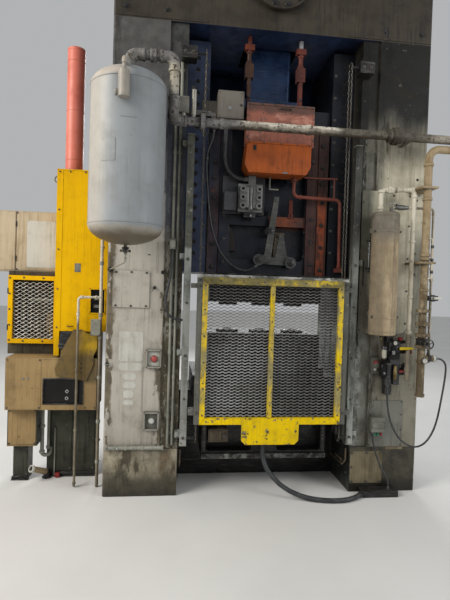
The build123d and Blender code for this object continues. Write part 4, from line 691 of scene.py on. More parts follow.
class Build:
    """Collects solids into one mesh object."""

    def __init__(self):
        self.bm = bmesh.new()
        self.mi = 0
        self.mats = []

    def use(self, key):
        m = MATS[key]
        if m not in self.mats:
            self.mats.append(m)
        self.mi = self.mats.index(m)
        return self

    def _mark(self, faces):
        for f in faces:
            f.material_index = self.mi

    def box(self, lo, hi, bevel=0.002, seg=1):
        lo, hi = Vector(lo), Vector(hi)
        m = Matrix.Translation((lo + hi) / 2) @ Matrix.Diagonal((*(hi - lo), 1.0))
        r = bmesh.ops.create_cube(self.bm, size=1.0, matrix=m)
        faces = {f for v in r["verts"] for f in v.link_faces}
        self._mark(faces)
        if bevel > 0:
            edges = {e for v in r["verts"] for e in v.link_edges}
            b = bmesh.ops.bevel(self.bm, geom=list(edges), offset=min(bevel, 0.45 * min(hi - lo)), segments=seg,
                                affect="EDGES", profile=0.5)
            faces = {f for f in faces if f.is_valid} | set(b["faces"])
        self._mark(faces)
        return self

    def slab(self, centre, axis, pts, depth, bevel=0.0):
        """A prism of the 2-D outline pts, starting at centre, along axis. pts are along (u, v) of that axis."""
        u, v, d = axes(axis)
        c = Vector(centre)
        a = [self.bm.verts.new(c + u * x + v * y) for x, y in pts]
        b = [self.bm.verts.new(c + u * x + v * y + d * depth) for x, y in pts]
        faces = [self.bm.faces.new(list(reversed(a))), self.bm.faces.new(b)]
        n = len(pts)
        for i in range(n):
            faces.append(self.bm.faces.new((a[i], a[(i + 1) % n], b[(i + 1) % n], b[i])))
        self._mark(faces)
        if bevel > 0:
            edges = {e for f in faces[:2] for e in f.edges}
            r = bmesh.ops.bevel(self.bm, geom=list(edges), offset=bevel, segments=1, affect="EDGES", profile=0.5)
            self._mark(r["faces"])
        return self

    def lathe(self, origin, axis, profile, n=24, turn=0.0):
        """profile is (radius, height) pairs from the base up; an end of radius 0 closes to a point."""
        u, v, d = axes(axis)
        o = Vector(origin)
        rings = []
        for r, h in profile:
            if r <= 1e-7:
                rings.append([self.bm.verts.new(o + d * h)])
            else:
                rings.append([self.bm.verts.new(o + d * h + (u * math.cos(turn + 2 * math.pi * i / n)
                              + v * math.sin(turn + 2 * math.pi * i / n)) * r) for i in range(n)])
        faces = []
        for a, b in zip(rings, rings[1:]):
            for i in range(n):
                j = (i + 1) % n
                if len(a) == 1 and len(b) == 1:
                    continue
                if len(a) == 1:
                    faces.append(self.bm.faces.new((a[0], b[j], b[i])))
                elif len(b) == 1:
                    faces.append(self.bm.faces.new((a[i], a[j], b[0])))
                else:
                    faces.append(self.bm.faces.new((a[i], a[j], b[j], b[i])))
        if len(rings[0]) > 1:
            faces.append(self.bm.faces.new(list(reversed(rings[0]))))
        if len(rings[-1]) > 1:
            faces.append(self.bm.faces.new(rings[-1]))
        self._mark(faces)
        return self

    def rod(self, p0, p1, r, n=16, cham=None):
        p0, p1 = Vector(p0), Vector(p1)
        h = (p1 - p0).length
        c = min(r * 0.25, h * 0.3) if cham is None else cham
        return self.lathe(p0, p1 - p0, [(r - c, 0), (r, c), (r, h - c), (r - c, h)], n)

    def bolt(self, place, axis, size=0.012, washer=True):
        """A hexagon head of across-corners radius size, on a washer."""
        p = Vector(place)
        d = Vector(axis).normalized()
        if washer:
            self.lathe(p, d, [(size * 1.35, 0), (size * 1.35, size * 0.16), (size * 1.28, size * 0.22)], 14)
            p = p + d * size * 0.2
        self.lathe(p, d, [(size, 0), (size, size * 0.62), (size * 0.86, size * 0.78)], 6, turn=RNG.random())
        return self

    def ring(self, centre, axis, R, r, n=32, k=8):
        u, v, d = axes(axis)
        c = Vector(centre)
        rows = []
        for i in range(n):
            a = 2 * math.pi * i / n
            e = u * math.cos(a) + v * math.sin(a)
            rows.append([self.bm.verts.new(c + e * (R + r * math.cos(2 * math.pi * j / k))
                         + d * r * math.sin(2 * math.pi * j / k)) for j in range(k)])
        faces = []
        for i in range(n):
            for j in range(k):
                a, b = rows[i], rows[(i + 1) % n]
                faces.append(self.bm.faces.new((a[j], b[j], b[(j + 1) % k], a[(j + 1) % k])))
        self._mark(faces)
        return self

    def tube(self, pts, r, n=10, cap=True):
        """A round bar or pipe along the points given."""
        pts = [Vector(p) for p in pts]
        tang = []
        for i in range(len(pts)):
            a = pts[max(0, i - 1)]
            b = pts[min(len(pts) - 1, i + 1)]
            tang.append((b - a).normalized())
        u = tang[0].orthogonal().normalized()
        rows = []
        for i, p in enumerate(pts):
            u = (u - tang[i] * u.dot(tang[i])).normalized()
            v = tang[i].cross(u)
            rows.append([self.bm.verts.new(p + (u * math.cos(2 * math.pi * j / n) + v * math.sin(2 * math.pi * j / n)) * r)
                         for j in range(n)])
        faces = []
        for a, b in zip(rows, rows[1:]):
            for j in range(n):
                faces.append(self.bm.faces.new((a[j], a[(j + 1) % n], b[(j + 1) % n], b[j])))
        if cap:
            faces.append(self.bm.faces.new(list(reversed(rows[0]))))
            faces.append(self.bm.faces.new(rows[-1]))
        self._mark(faces)
        return self

    def done(self, name, body="press_frame", slot=None, smooth=38.0, replaces=()):
        bmesh.ops.recalc_face_normals(self.bm, faces=self.bm.faces[:])
        me = bpy.data.meshes.new(name)
        self.bm.to_mesh(me)
        self.bm.free()
        for m in self.mats:
            me.materials.append(m)
        for p in me.polygons:
            p.use_smooth = True
        me.set_sharp_from_angle(angle=math.radians(smooth))
        o = bpy.data.objects.new(name, me)
        SCENE.collection.objects.link(o)
        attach(o, body)
        if replaces:
            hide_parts(*replaces)
        return o


def arc_path(points, radius, steps=6):
    """Straight pipe runs joined by bends, for rigid pipework."""
    pts = [Vector(p) for p in points]
    out = [pts[0]]
    for i in range(1, len(pts) - 1):
        a = (pts[i - 1] - pts[i])
        b = (pts[i + 1] - pts[i])
        ang = a.angle(b)
        cut = min(radius / math.tan(ang / 2), 0.48 * a.length, 0.48 * b.length)
        rad = cut * math.tan(ang / 2)
        a.normalize(), b.normalize()
        c = pts[i] + (a + b).normalized() * (rad / math.sin(ang / 2))
        s, e = pts[i] + a * cut - c, pts[i] + b * cut - c
        tot = s.angle(e)
        for k in range(steps + 1):
            f = k / steps
            w = (s * math.sin((1 - f) * tot) + e * math.sin(f * tot)) / math.sin(tot) if tot > 1e-4 else s.lerp(e, f)
            out.append(c + w)
    out.append(pts[-1])
    return out


def mm(*v):
    return tuple(x / 1000.0 for x in v)


# ------------------------------------------------------------------ expanded metal
def expanded_metal(name, body, x0, x1, z0, z1, y, lwd, swd, strand, thick, turned, replaces, mat, slot):
    """Strands that run side to side in a zigzag, each joined to the next at its bonds."""
    b = Build().use(mat)
    bm = b.bm
    half_l, half_s = lwd / 2, swd / 2
    rows = int((z1 - z0) / half_s)
    cols = int(math.ceil((x1 - x0) / half_l))
    bond = 0.32 * half_l
    w = strand / 2

    def section(x, z, lean, w):
        # a flat strand that leans forward at its foot
        return [bm.verts.new((x, y - thick * 0.5 - lean, z - w)), bm.verts.new((x, y + thick * 0.1 - lean, z - w)),
                bm.verts.new((x, y + thick * 0.5 + lean, z + w)), bm.verts.new((x, y - thick * 0.1 + lean, z + w))]

    for j in range(rows):
        # every second strand may be turned nearly edge on
        w = strand / 2 if j % 2 == 0 else strand * turned
        lean = thick * (0.15 if j % 2 == 0 else 0.5)
        zlow = z0 + j * half_s + w
        zhigh = z0 + (j + 1) * half_s - w
        prev = None
        xs = []
        for i in range(cols + 1):
            up = (i + j) % 2 == 0
            z = zhigh if up else zlow
            cx = x0 + i * half_l
            for s in (-bond / 2, bond / 2):
                x = min(max(cx + s, x0), x1)
                xs.append((x, z))
        clean = []
        for x, z in xs:
            if not clean or x > clean[-1][0] + 1e-5:
                clean.append((x, z))
        for x, z in clean:
            cur = section(x, z, lean, w)
            if prev:
                for k in range(4):
                    bm.faces.new((prev[k], prev[(k + 1) % 4], cur[(k + 1) % 4], cur[k]))
            else:
                bm.faces.new(cur)
            prev = cur
        bm.faces.new(list(reversed(prev)))
    return b.done(name, body, slot, smooth=20, replaces=replaces)


expanded_metal("gate_mesh_strands", "gate_body", -0.716, 0.716, 0.856, 2.278, -0.8075, 0.0672, 0.0319, 0.0064, 0.0044, 0.17,
               ("gate_mesh",), "mesh", "mesh_steel")
expanded_metal("feeder_guard_strands", "press_frame", -2.819, -2.375, 1.5755, 2.2345, -0.073, 0.0720, 0.0440, 0.0060, 0.0040, 0.5,
               ("feeder_guard_mesh",), "mesh", "mesh_steel")


# ------------------------------------------------------------------ chains
def chain_links():
    b = Build().use("chain")
    cy_, low, top_, rad = -0.735, 0.640, 4.600, 0.040
    straight = top_ - low
    total = 2 * straight + 2 * math.pi * rad
    count = 2 * int(total / 0.034 / 2)
    pitch = total / count

    def at(s):
        s %= total
        if s < straight:
            return Vector((0, cy_ - rad, low + s)), Vector((0, 0, 1))
        s -= straight
        if s < math.pi * rad:
            a = math.pi - s / rad
            return Vector((0, cy_ + rad * math.cos(a), top_ + rad * math.sin(a))), Vector((0, math.sin(a), -math.cos(a)))
        s -= math.pi * rad
        if s < straight:
            return Vector((0, cy_ + rad, top_ - s)), Vector((0, 0, -1))
        s -= straight
        a = -s / rad
        return Vector((0, cy_ + rad * math.cos(a), low + rad * math.sin(a))), Vector((0, math.sin(a), -math.cos(a)))

    k, n = 5, 10
    for side in (-0.770, 0.770):
        for i in range(count):
            p, d = at((i + 0.5) * pitch)
            p.x = side
            across = Vector((1, 0, 0)) if i % 2 else d.cross(Vector((1, 0, 0))).normalized()
            nrm = d.cross(across)
            half_len, half_wid, r = pitch * 0.66, 0.0062, 0.0026
            rows = []
            for a_i in range(n):
                a = 2 * math.pi * a_i / n
                ca, sa = math.cos(a), math.sin(a)
                c = d * (math.copysign(half_len - half_wid, ca) * (1 if abs(ca) > 1e-6 else 0) + half_wid * ca) + across * half_wid * sa
                out = (d * ca + across * sa).normalized()
                rows.append([b.bm.verts.new(p + c + out * r * math.cos(2 * math.pi * j / k) + nrm * r * math.sin(2 * math.pi * j / k))
                             for j in range(k)])
            for a_i in range(n):
                a, c = rows[a_i], rows[(a_i + 1) % n]
                for j in range(k):
                    b.bm.faces.new((a[j], c[j], c[(j + 1) % k], a[(j + 1) % k]))
    return b.done("gate_chain_links", "press_frame", "galvanised", smooth=60, replaces=("gate_chains",))


chain_links()


# ------------------------------------------------------------------ small parts
def P(x, y, z):
    return Vector((x / 1000.0, y / 1000.0, z / 1000.0))


def screws(b, places, axis, size, washer=True):
    for p in places:
        b.bolt(P(*p), axis, size / 1000.0, washer)


def socket_screw(b, p, axis, r, h):
    """A cap screw with a hexagon socket, base at p."""
    u, v, d = axes(axis)
    p = Vector(p)
    n = 18
    b.lathe(p, d, [(r, 0), (r, h * 0.88), (r * 0.9, h), (r * 0.56, h), (r * 0.52, h * 0.55), (0, h * 0.5)], n)


def curved_plate(b, cx, cy, r, a0, a1, z0, z1, thick, n=10):
    """A plate bent round a vertical cylinder, angles from -Y towards +X."""
    cols = []
    for i in range(n + 1):
        a = math.radians(a0 + (a1 - a0) * i / n)
        s, c = math.sin(a), -math.cos(a)
        cols.append([b.bm.verts.new(Vector((cx + s * q, cy + c * q, z)) / 1000.0)
                     for q, z in ((r - 1, z0), (r + thick, z0), (r + thick, z1), (r - 1, z1))])
    faces = [b.bm.faces.new(cols[0]), b.bm.faces.new(list(reversed(cols[-1])))]
    for a, c in zip(cols, cols[1:]):
        for k in range(4):
            faces.append(b.bm.faces.new((a[k], a[(k + 1) % 4], c[(k + 1) % 4], c[k])))
    b._mark(faces)


def gauge(b, p, r, axis=(0, -1, 0), rim="bolt_dark", face="white"):
    p = P(*p)
    r = r / 1000.0
    b.use(rim).lathe(p, axis, [(r * 0.55, 0), (r, r * 0.25), (r, r * 0.72), (r * 0.93, r * 0.8), (r * 0.86, r * 0.8), (r * 0.84, r * 0.66), (0, r * 0.66)], 24)
    b.use(face).lathe(p + Vector(axis) * r * 0.665, axis, [(r * 0.83, 0), (r * 0.83, r * 0.02), (0, r * 0.022)], 24)
    u, v, d = axes(axis)
    q = p + d * r * 0.70
    b.use("bolt_dark").slab(q, axis, [(-r * 0.05, -r * 0.2), (r * 0.05, -r * 0.2), (r * 0.02, r * 0.66), (-r * 0.02, r * 0.66)], r * 0.03)


def hexnut(b, p, axis, r, h):
    b.lathe(P(*p), axis, [(r * 0.9 / 1000, 0), (r / 1000, h * 0.12 / 1000), (r / 1000, h * 0.88 / 1000), (r * 0.9 / 1000, h / 1000)], 6)


def collar(b, p, axis, r, h, n=20):
    c = min(r, h) * 0.18
    b.lathe(P(*p), axis, [((r - c) / 1000, 0), (r / 1000, c / 1000), (r / 1000, (h - c) / 1000), ((r - c) / 1000, h / 1000)], n)


def bare_plate(b, x0, x1, z0, z1, y, thick=1.6, mat="white"):
    b.use(mat).box(P(x0, y - thick, z0), P(x1, y + 0.5, z1), 0.0006)
    b.use("bolt")
    m = 9
    for x in (x0 + m, x1 - m):
        for z in (z0 + m, z1 - m):
            b.lathe(P(x, y - thick, z), (0, -1, 0), [(0.0035, 0), (0.0032, 0.0012), (0, 0.002)], 10)


def small_materials():
    M = MATS
    M["white"] = paint("bare_plate_enamel", (214, 212, 204), (200, 198, 188), grime_and_shade=(126, 118, 100), grime_and_shade_amount=0.3,
                       streak=0.3, chip=0.12, chip_color=(120, 100, 78), seed=50.1, bump=0.08, edge=0.3, edge_radius=0.002)
    M["stained"] = paint("stained_plate_paint", (142, 130, 104), (118, 108, 86), grime_and_shade=(62, 54, 40), grime_and_shade_amount=0.45,
                         streak=0.75, streak_color=(84, 70, 46), chip=0.4, seed=51.2, bump=0.35, low=(0.0, 0.30, 0.3))
    M["sheet"] = paint("mounting_sheet_paint", (206, 201, 180), (182, 177, 154), grime_and_shade=(84, 82, 66), grime_and_shade_amount=0.35,
                       streak=0.6, streak_color=(112, 110, 90), chip=0.2, seed=52.3, bump=0.2,
                       zones=[(zone_x(0.9, 1.10, 0.03, 0.05, 4.0, 2.0), (84, 84, 74), (112, 110, 98), 0.75),
                              # painted light: a bright cream patch on the sheet, where light falls
                              (both(zone_x(1.34, 1.6, 0.04, 0.05, 3.0), zone_z(2.0, 3.5, 0.2, 0.2)), (238, 231, 209), (216, 207, 181), 0.88),
                              (both(zone_x(1.30, 1.6, 0.04, 0.05, 3.0), patches(0.50, 0.57, 15.0, 3.0, (1, 1, 0.035))), (140, 134, 110), (166, 160, 136), 0.6)])
    M["blue_sheet"] = paint("backing_sheet_paint", (146, 156, 156), (126, 134, 132), grime_and_shade=(82, 80, 68), grime_and_shade_amount=0.35,
                            streak=0.5, streak_color=(96, 96, 84), chip=0.2, seed=53.3, bump=0.2)
    M["lens_red"] = paint("red_lens", (190, 92, 88), (166, 72, 70), grime_and_shade=(90, 50, 48), grime_and_shade_amount=0.2, streak=0.1,
                          chip=0.05, seed=54.4, bump=0.1, rough=(0.15, 0.35), edge=0)
    M["lens_white"] = paint("white_lens", (206, 208, 206), (186, 188, 184), grime_and_shade=(120, 116, 104), grime_and_shade_amount=0.25,
                            streak=0.1, chip=0.05, seed=55.4, bump=0.1, rough=(0.15, 0.35), edge=0)
    M["knob_red"] = paint("red_knob_plastic", (168, 52, 50), (132, 44, 42), grime_and_shade=(70, 40, 36), grime_and_shade_amount=0.35,
                          streak=0.2, chip=0.3, chip_color=(190, 130, 120), seed=56.5, bump=0.2, rough=(0.3, 0.55))
    M["lever_yellow"] = paint("yellow_lever_plastic", (226, 196, 30), (200, 170, 30), grime_and_shade=(104, 88, 36),
                              grime_and_shade_amount=0.35, streak=0.2, chip=0.3, seed=57.5, bump=0.2)
    M["green"] = paint("green_plug_plastic", (62, 128, 100), (50, 104, 84), grime_and_shade=(40, 52, 44), grime_and_shade_amount=0.35,
                       streak=0.2, chip=0.3, seed=58.5, bump=0.2)
    M["brass"] = steel("old_brass", (150, 128, 72), (120, 100, 56), rust=(78, 66, 44), rust_amount=0.4, metal=0.8,
                       seed=59.5, rough=(0.3, 0.5))
    M["pale_plastic"] = paint("bowl_plastic", (186, 182, 166), (162, 158, 142), grime_and_shade=(96, 88, 70), grime_and_shade_amount=0.35,
                              streak=0.3, chip=0.1, seed=60.5, bump=0.1, rough=(0.2, 0.4))
    M["black_glass"] = paint("black_panel", (20, 20, 22), (12, 12, 14), grime_and_shade=(54, 50, 42), grime_and_shade_amount=0.35,
                             streak=0.2, streak_color=(40, 38, 34), chip=0.1, chip_color=(60, 58, 52), seed=61.5, bump=0.1,
                             rough=(0.12, 0.35), edge=0.2)
    M["chrome"] = steel("bright_steel", (186, 188, 190), (150, 152, 154), rust_amount=0.1, metal=0.95, seed=62.5,
                        rough=(0.18, 0.35), grime_and_shade_amount=0.3)
    M["tan"] = paint("carton_board", (150, 122, 80), (128, 102, 66), grime_and_shade=(80, 64, 42), grime_and_shade_amount=0.4, streak=0.2,
                     chip=0.15, seed=63.5, bump=0.2, rough=(0.7, 0.9))
    M["cast_brown"] = paint("lever_bracket_casting", (134, 122, 100), (98, 84, 70), grime_and_shade=(26, 24, 24), grime_and_shade_amount=0.55,
                            streak=0.4, chip=0.4, chip_color=(130, 70, 44), seed=64.5, bump=0.5, oil=0.4)
    M["cast_dark"] = paint("dark_casting", (60, 50, 46), (44, 40, 40), grime_and_shade=(20, 20, 22), grime_and_shade_amount=0.5, streak=0.4,
                          chip=0.4, chip_color=(104, 62, 46), seed=66.5, bump=0.5, oil=0.4)
    M["silencer"] = steel("silencer_alloy", (214, 210, 196), (160, 156, 144), rust_amount=0.1, grime_and_shade=(60, 56, 48), grime_and_shade_amount=0.5,
                          metal=0.3, seed=67.5, rough=(0.3, 0.5))
    M["gland"] = steel("gland_steel", (120, 120, 116), (90, 90, 88), rust_amount=0.25, metal=0.7, seed=65.5)


small_materials()


def tank_trim():
    b = Build().use("tank")
    for z in (2762, 4010):
        b.ring(P(-1500, -1150, z), (0, 0, 1), 0.3452, 0.0050, 96, 6)
    curved_plate(b, -1500, -1150, 345, -35.5, -12.6, 3276, 3472, 3)
    curved_plate(b, -1500, -1150, 345, -6.5, 15.0, 3650, 3662, 4)
    for a in (-33.5, -14.6):
        for z in (3288, 3460):
            s, c = math.sin(math.radians(a)), -math.cos(math.radians(a))
            b.lathe(P(-1500 + s * 347.5, -1150 + c * 347.5, z), (s, c, 0), [(0.005, 0), (0.0045, 0.002), (0, 0.003)], 10)
    # seam along the shell, round the back left
    a = math.radians(-72)
    b.tube([P(-1500 + math.sin(a) * 345, -1150 - math.cos(a) * 345, z) for z in range(2772, 4001, 102)], 0.004, 6)
    # collars of the relief valve
    b.use("chrome")
    hexnut(b, (-1510, -1553, 4004), (0, 0, 1), 30, 22)
    b.use("tank")
    collar(b, (-1510, -1553, 3794), (0, 0, 1), 51 - 3.5, 26, 28)
    b.tube(arc_path([P(-1510, -1553, 4072), P(-1510, -1553, 4118), P(-1510, -1507, 4118)], 0.032, 8), 0.0225, 16)
    collar(b, (-1510, -1398, 4118), (0, -1, 0), 32, 46)
    b.use("galv")
    collar(b, (-1584, -1553, 3826), (1, 0, 0), 30, 18)
    b.lathe(P(-1583, -1553, 3826), (-1, 0, 0), [(0.0175, -0.004), (0.0175, 0.0002), (0.010, 0.0006), (0, 0.0006)], 20)
    b.use("tank")
    b.done("tank_seams", slot="tank_paint")

    b = Build().use("dark_iron")
    hexnut(b, (-1500, -1150, 2566), (0, 0, -1), 33, 20)
    collar(b, (-1500, -1150, 2540), (0, 0, -1), 52, 20)
    b.use("galv")
    b.tube(arc_path([P(-1500, -1150, 2525), P(-1498, -1150, 2425), P(-1560, -1040, 2402), P(-1650, -800, 2378), P(-1693, -668, 2371)], 0.03), 0.0062, 10)
    hexnut(b, (-1499, -1150, 2520), (0, 0, -1), 16, 22)
    hexnut(b, (-1498, -1150, 2470), (0, 0, -1), 13, 16)
    b.use("dark_iron")
    collar(b, (-1693, -649, 2371), (0, -1, 0), 24, 34)
    collar(b, (-1693, -682, 2371), (0, -1, 0), 15, 14)
    b.done("tank_drain", slot="galvanised")


def left_trim():
    b = Build()
    y = -662
    b.use("bolt")
    screws(b, [(-1628, y, 2346), (-1318, y, 2346), (-1318, y, 2001), (-1628, y, 2001), (-1473, y, 2350), (-1473, y, 1999)],
           (0, -1, 0), 9)
    # cover sheet between the two indicator boxes, with its edges folded up
    b.use("press_left").box(P(-1338, -653, 897), P(-1150, -649.5, 1358), 0.001)
    for x in (-1338, -1156):
        b.box(P(x, -658, 897), P(x + 6, -652, 1358), 0.001)
    b.box(P(-1218, -655, 2350), P(-1208, -649.5, 2672), 0.001)
    # frames of the indicator boxes
    for cx, cz in ((-1222, 1455), (-1232, 800)):
        b.use("box_left")
        for x0, x1, z0, z1 in ((-78, 78, 82, 95), (-78, 78, -95, -82), (-78, -66, -95, 95), (66, 78, -95, 95)):
            b.box(P(cx + x0, -690, cz + z0), P(cx + x1, -683, cz + z1), 0.002)
        b.use("bolt")
        for x in (-72, 72):
            for z in (-88, 88):
                b.lathe(P(cx + x, -690, cz + z), (0, -1, 0), [(0.005, 0), (0.0045, 0.002), (0, 0.003)], 10)
    b.use("white").box(P(-1284, -661.5, 1377), P(-1160, -660.2, 1533), 0.0005)
    b.use("lens_red").lathe(P(-1218, -661, 1452), (0, -1, 0), [(0.034, 0), (0.034, 0.008), (0.028, 0.018), (0.016, 0.024), (0, 0.026)], 22)
    b.use("galv").ring(P(-1218, -666, 1452), (0, 1, 0), 0.036, 0.005, 28, 8)
    b.use("lens_white").lathe(P(-1230, -661, 800), (0, -1, 0), [(0.030, 0), (0.030, 0.010), (0.024, 0.018), (0, 0.022)], 22)
    b.use("galv").ring(P(-1230, -667, 800), (0, 1, 0), 0.033, 0.005, 28, 8)
    # pins, clips and an eye on the edge
    b.use("bolt_dark")
    collar(b, (-1234, -649, 2195), (0, -1, 0), 17, 22)
    b.tube([P(-1234, -668, 2195), P(-1250, -676, 2175), P(-1262, -676, 2150)], 0.004, 6)
    b.box(P(-1312, -653, 2531), P(-1284, -649, 2541), 0.001)
    collar(b, (-1700, -649, 1393), (0, -1, 0), 20, 30)
    b.use("galv").ring(P(-1700, -690, 1393), (0, 0, 1), 0.017, 0.0045, 20, 8)
    b.use("bolt_dark")
    screws(b, [(-1151, -649, 2358)], (0, -1, 0), 16)
    # couplings on the conduit along the joint line
    b.use("galv")
    for x in (-1696, -1618, -1500, -1330, -1120):
        hexnut(b, (x, -675, 520), (1, 0, 0), 27, 24)
    collar(b, (-1688, -690, 520), (0, -1, 0), 14, 34)
    b.use("chrome")
    collar(b, (-1570, -684, 520), (0, -1, 0), 11, 30)
    b.use("galv")
    for x, zs in ((-1010, (700, 1240, 2050, 3000, 4100)), (-1060, (820, 1500, 2250, 3250, 4200))):
        for z in zs:
            collar(b, (x, -641, z), (0, 0, 1), 19, 44, 14)
    b.use("bolt")
    for z in (900, 1800, 2700, 3600, 4450):
        screws(b, [(-1035, -641, z + 12)], (0, -1, 0), 6, False)
    # lid of the outlet box
    b.use("galv").box(P(-1090, -731, 2606), P(-1034, -726.5, 2690), 0.002)
    b.use("bolt")
    screws(b, [(-1084, -731, 2612), (-1040, -731, 2612), (-1084, -731, 2684), (-1040, -731, 2684)], (0, -1, 0), 4, False)
    b.done("left_upright_fittings", slot="press_paint")

    b = Build()
    bare_plate(b, -1584, -1338, 1421, 1733, -650)
    bare_plate(b, -1584, -1338, 1325, 1405, -650)
    bare_plate(b, -1537, -1402, 1229, 1301, -650)
    bare_plate(b, -1537, -1402, 1141, 1205, -650)
    bare_plate(b, -1529, -1425, 1037, 1117, -650)
    bare_plate(b, -1529, -1425, 965, 1013, -650)
    b.done("left_bare_plates", slot="press_paint")


def gland(b, p, axis, r):
    b.use("gland")
    hexnut(b, p, axis, r * 1.5, r * 1.1)
    q = (Vector(p) + Vector(axis).normalized() * r * 1.0)
    collar(b, tuple(q), axis, r * 1.22, r * 1.2)


def bay_trim():
    b = Build()
    # upper hood: handle, lips and screws
    b.use("bolt_dark")
    b.tube(arc_path([P(66, -558, 4170), P(66, -584, 4170), P(176, -584, 4170), P(176, -558, 4170)], 0.012), 0.006, 8)
    b.use("chrome").box(P(98, -588, 4166), P(144, -579, 4177), 0.003)
    b.use("hood_upper")
    b.box(P(-304, -566, 4196), P(444, -559.5, 4220), 0.002)
    b.box(P(-304, -565, 3780), P(-284, -559.5, 4196), 0.002)
    b.box(P(424, -565, 3780), P(444, -559.5, 4196), 0.002)
    b.box(P(-306, -566, 3776), P(446, -559.5, 3794), 0.002)
    b.use("bolt")
    screws(b, [(x, -566, 4208) for x in (-280, -140, 0, 200, 330, 420)], (0, -1, 0), 8)
    screws(b, [(x, -565, z) for x in (-294, 434) for z in (3850, 3960, 4080)], (0, -1, 0), 7)
    # lower hood: folded edge, latches
    b.use("hood_lower")
    b.box(P(-320, -646, 3764), P(392, -639, 3781), 0.003)
    b.box(P(-240, -645, 3455), P(312, -639, 3470), 0.003)
    b.use("bolt_dark").box(P(-236, -646, 3690), P(-206, -639, 3744), 0.002)
    b.box(P(-230, -652, 3706), P(-212, -645, 3728), 0.002)
    b.use("chrome").box(P(84, -648, 3458), P(146, -640, 3474), 0.003)
    b.use("bolt")
    screws(b, [(x, -646, 3772) for x in (-290, -120, 60, 240, 370)], (0, -1, 0), 6)
    # rod and link beside the hood, bracket under it
    b.use("hood_pipe")
    b.tube([P(372, -480, 3470), P(560, -480, 3470), P(756, -480, 3473)], 0.010, 10)
    b.tube([P(723, -480, 3478), P(725, -480, 3236)], 0.008, 8)
    collar(b, (262, -470, 3456), (0, 0, -1), 34, 34)
    hexnut(b, (262, -470, 3418), (0, 0, -1), 27, 20)
    hexnut(b, (812, -470, 2480), (0, 0, 1), 27, 26)
    hexnut(b, (330, -470, 3252.9), (1, 0, -0.028), 26, 24)
    b.use("bolt")
    screws(b, [(790, -510, 2452), (834, -510, 2452)], (0, -1, 0), 7)
    b.use("grey_box")
    b.box(P(-22, -486, 3318), P(-6, -470, 3456), 0.002)
    b.box(P(-22, -486, 3310), P(88, -470, 3326), 0.002)
    # hood links: nuts and clevis pins
    for x in (-285, 290):
        b.use("links")
        hexnut(b, (x, -480, 4560), (0, -1, 0), 30, 44)
        hexnut(b, (x, -480, 4652), (0, 0, 1), 36, 34)
        hexnut(b, (x, -480, 4766), (0, 0, 1), 34, 30)
        b.use("bolt_dark")
        collar(b, (x, -502, 4300), (0, -1, 0), 14, 22)
    b.done("hood_fittings", slot="orange_paint")

    # control box lid, lock and cable entries
    b = Build()
    b.use("control_box").box(P(-612, -565, 4042), P(-346, -559.5, 4318), 0.003)
    b.box(P(-619, -562, 4034.5), P(-339, -559.5, 4325.5), 0.001)
    b.use("bolt_dark")
    b.lathe(P(-600 + 230, -565, 4176), (0, -1, 0), [(0.012, 0), (0.012, 0.006), (0.009, 0.010), (0, 0.011)], 16)
    b.use("chrome").box(P(-505, -566.5, 4128), P(-474, -564.5, 4160), 0.0006)
    b.use("bolt")
    screws(b, [(-600, -565, 4056), (-358, -565, 4056), (-600, -565, 4304), (-358, -565, 4304)], (0, -1, 0), 5, False)
    gland(b, (-515, -478, 4034), (0, 0, -1), 26)
    b.done("control_box_lid", slot="grey_box")

    # valve block: two banks of ports, the middle body, solenoid and fittings
    b = Build()
    b.use("alloy")
    for x in (-305, -160):
        b.box(P(x - 50, -572, 3092), P(x + 50, -559.5, 3312), 0.008, 2)
    b.lathe(P(-232, -548, 3072), (0, 0, 1), [(0.018, 0), (0.025, 0.006), (0.025, 0.070), (0.021, 0.078), (0.021, 0.160), (0.025, 0.168), (0.025, 0.240), (0.018, 0.250)], 20)
    b.box(P(-258, -548, 3064), P(-206, -519.5, 3330), 0.004)
    for x in (-322, -144):
        for z in (3290, 3200, 3110):
            b.use("alloy").lathe(P(x, -571.5, z), (0, -1, 0), [(0.036, 0), (0.036, 0.012), (0.032, 0.016), (0.0175, 0.016), (0.0175, 0.002), (0, 0.002)], 26)
            b.use("black_glass").lathe(P(x, -573, z), (0, -1, 0), [(0.0172, 0), (0.0172, 0.010), (0.009, 0.010), (0.0085, 0.003), (0, 0.003)], 16)
    b.use("bolt")
    screws(b, [(x, -571.5, z) for x in (-284, -181) for z in (3245, 3159)], (0, -1, 0), 7, False)
    b.use("bolt_dark").box(P(-300, -520, 2992), P(-170, -434, 3053), 0.006, 2)
    b.lathe(P(-224, -519, 3010), (0, -1, 0), [(0.022, 0), (0.022, 0.010), (0.017, 0.014), (0, 0.014)], 18)
    b.use("chrome").lathe(P(-224, -532.5, 3010), (0, -1, 0), [(0.014, 0), (0.012, 0.006), (0, 0.008)], 16)
    b.use("alloy").box(P(-516, -506, 3070), P(-384, -499.5, 3262), 0.003)
    b.use("bolt")
    screws(b, [(x, -506, z) for x in (-506, -394) for z in (3082, 3250)], (0, -1, 0), 5, False)
    screws(b, [(x, -410, z) for x in (-510, -70) for z in (3055, 3440)], (0, -1, 0), 10)
    gland(b, (-255, -478, 3408), (-1, 0, 0), 25)
    b.done("valve_ports", slot="bright_alloy")


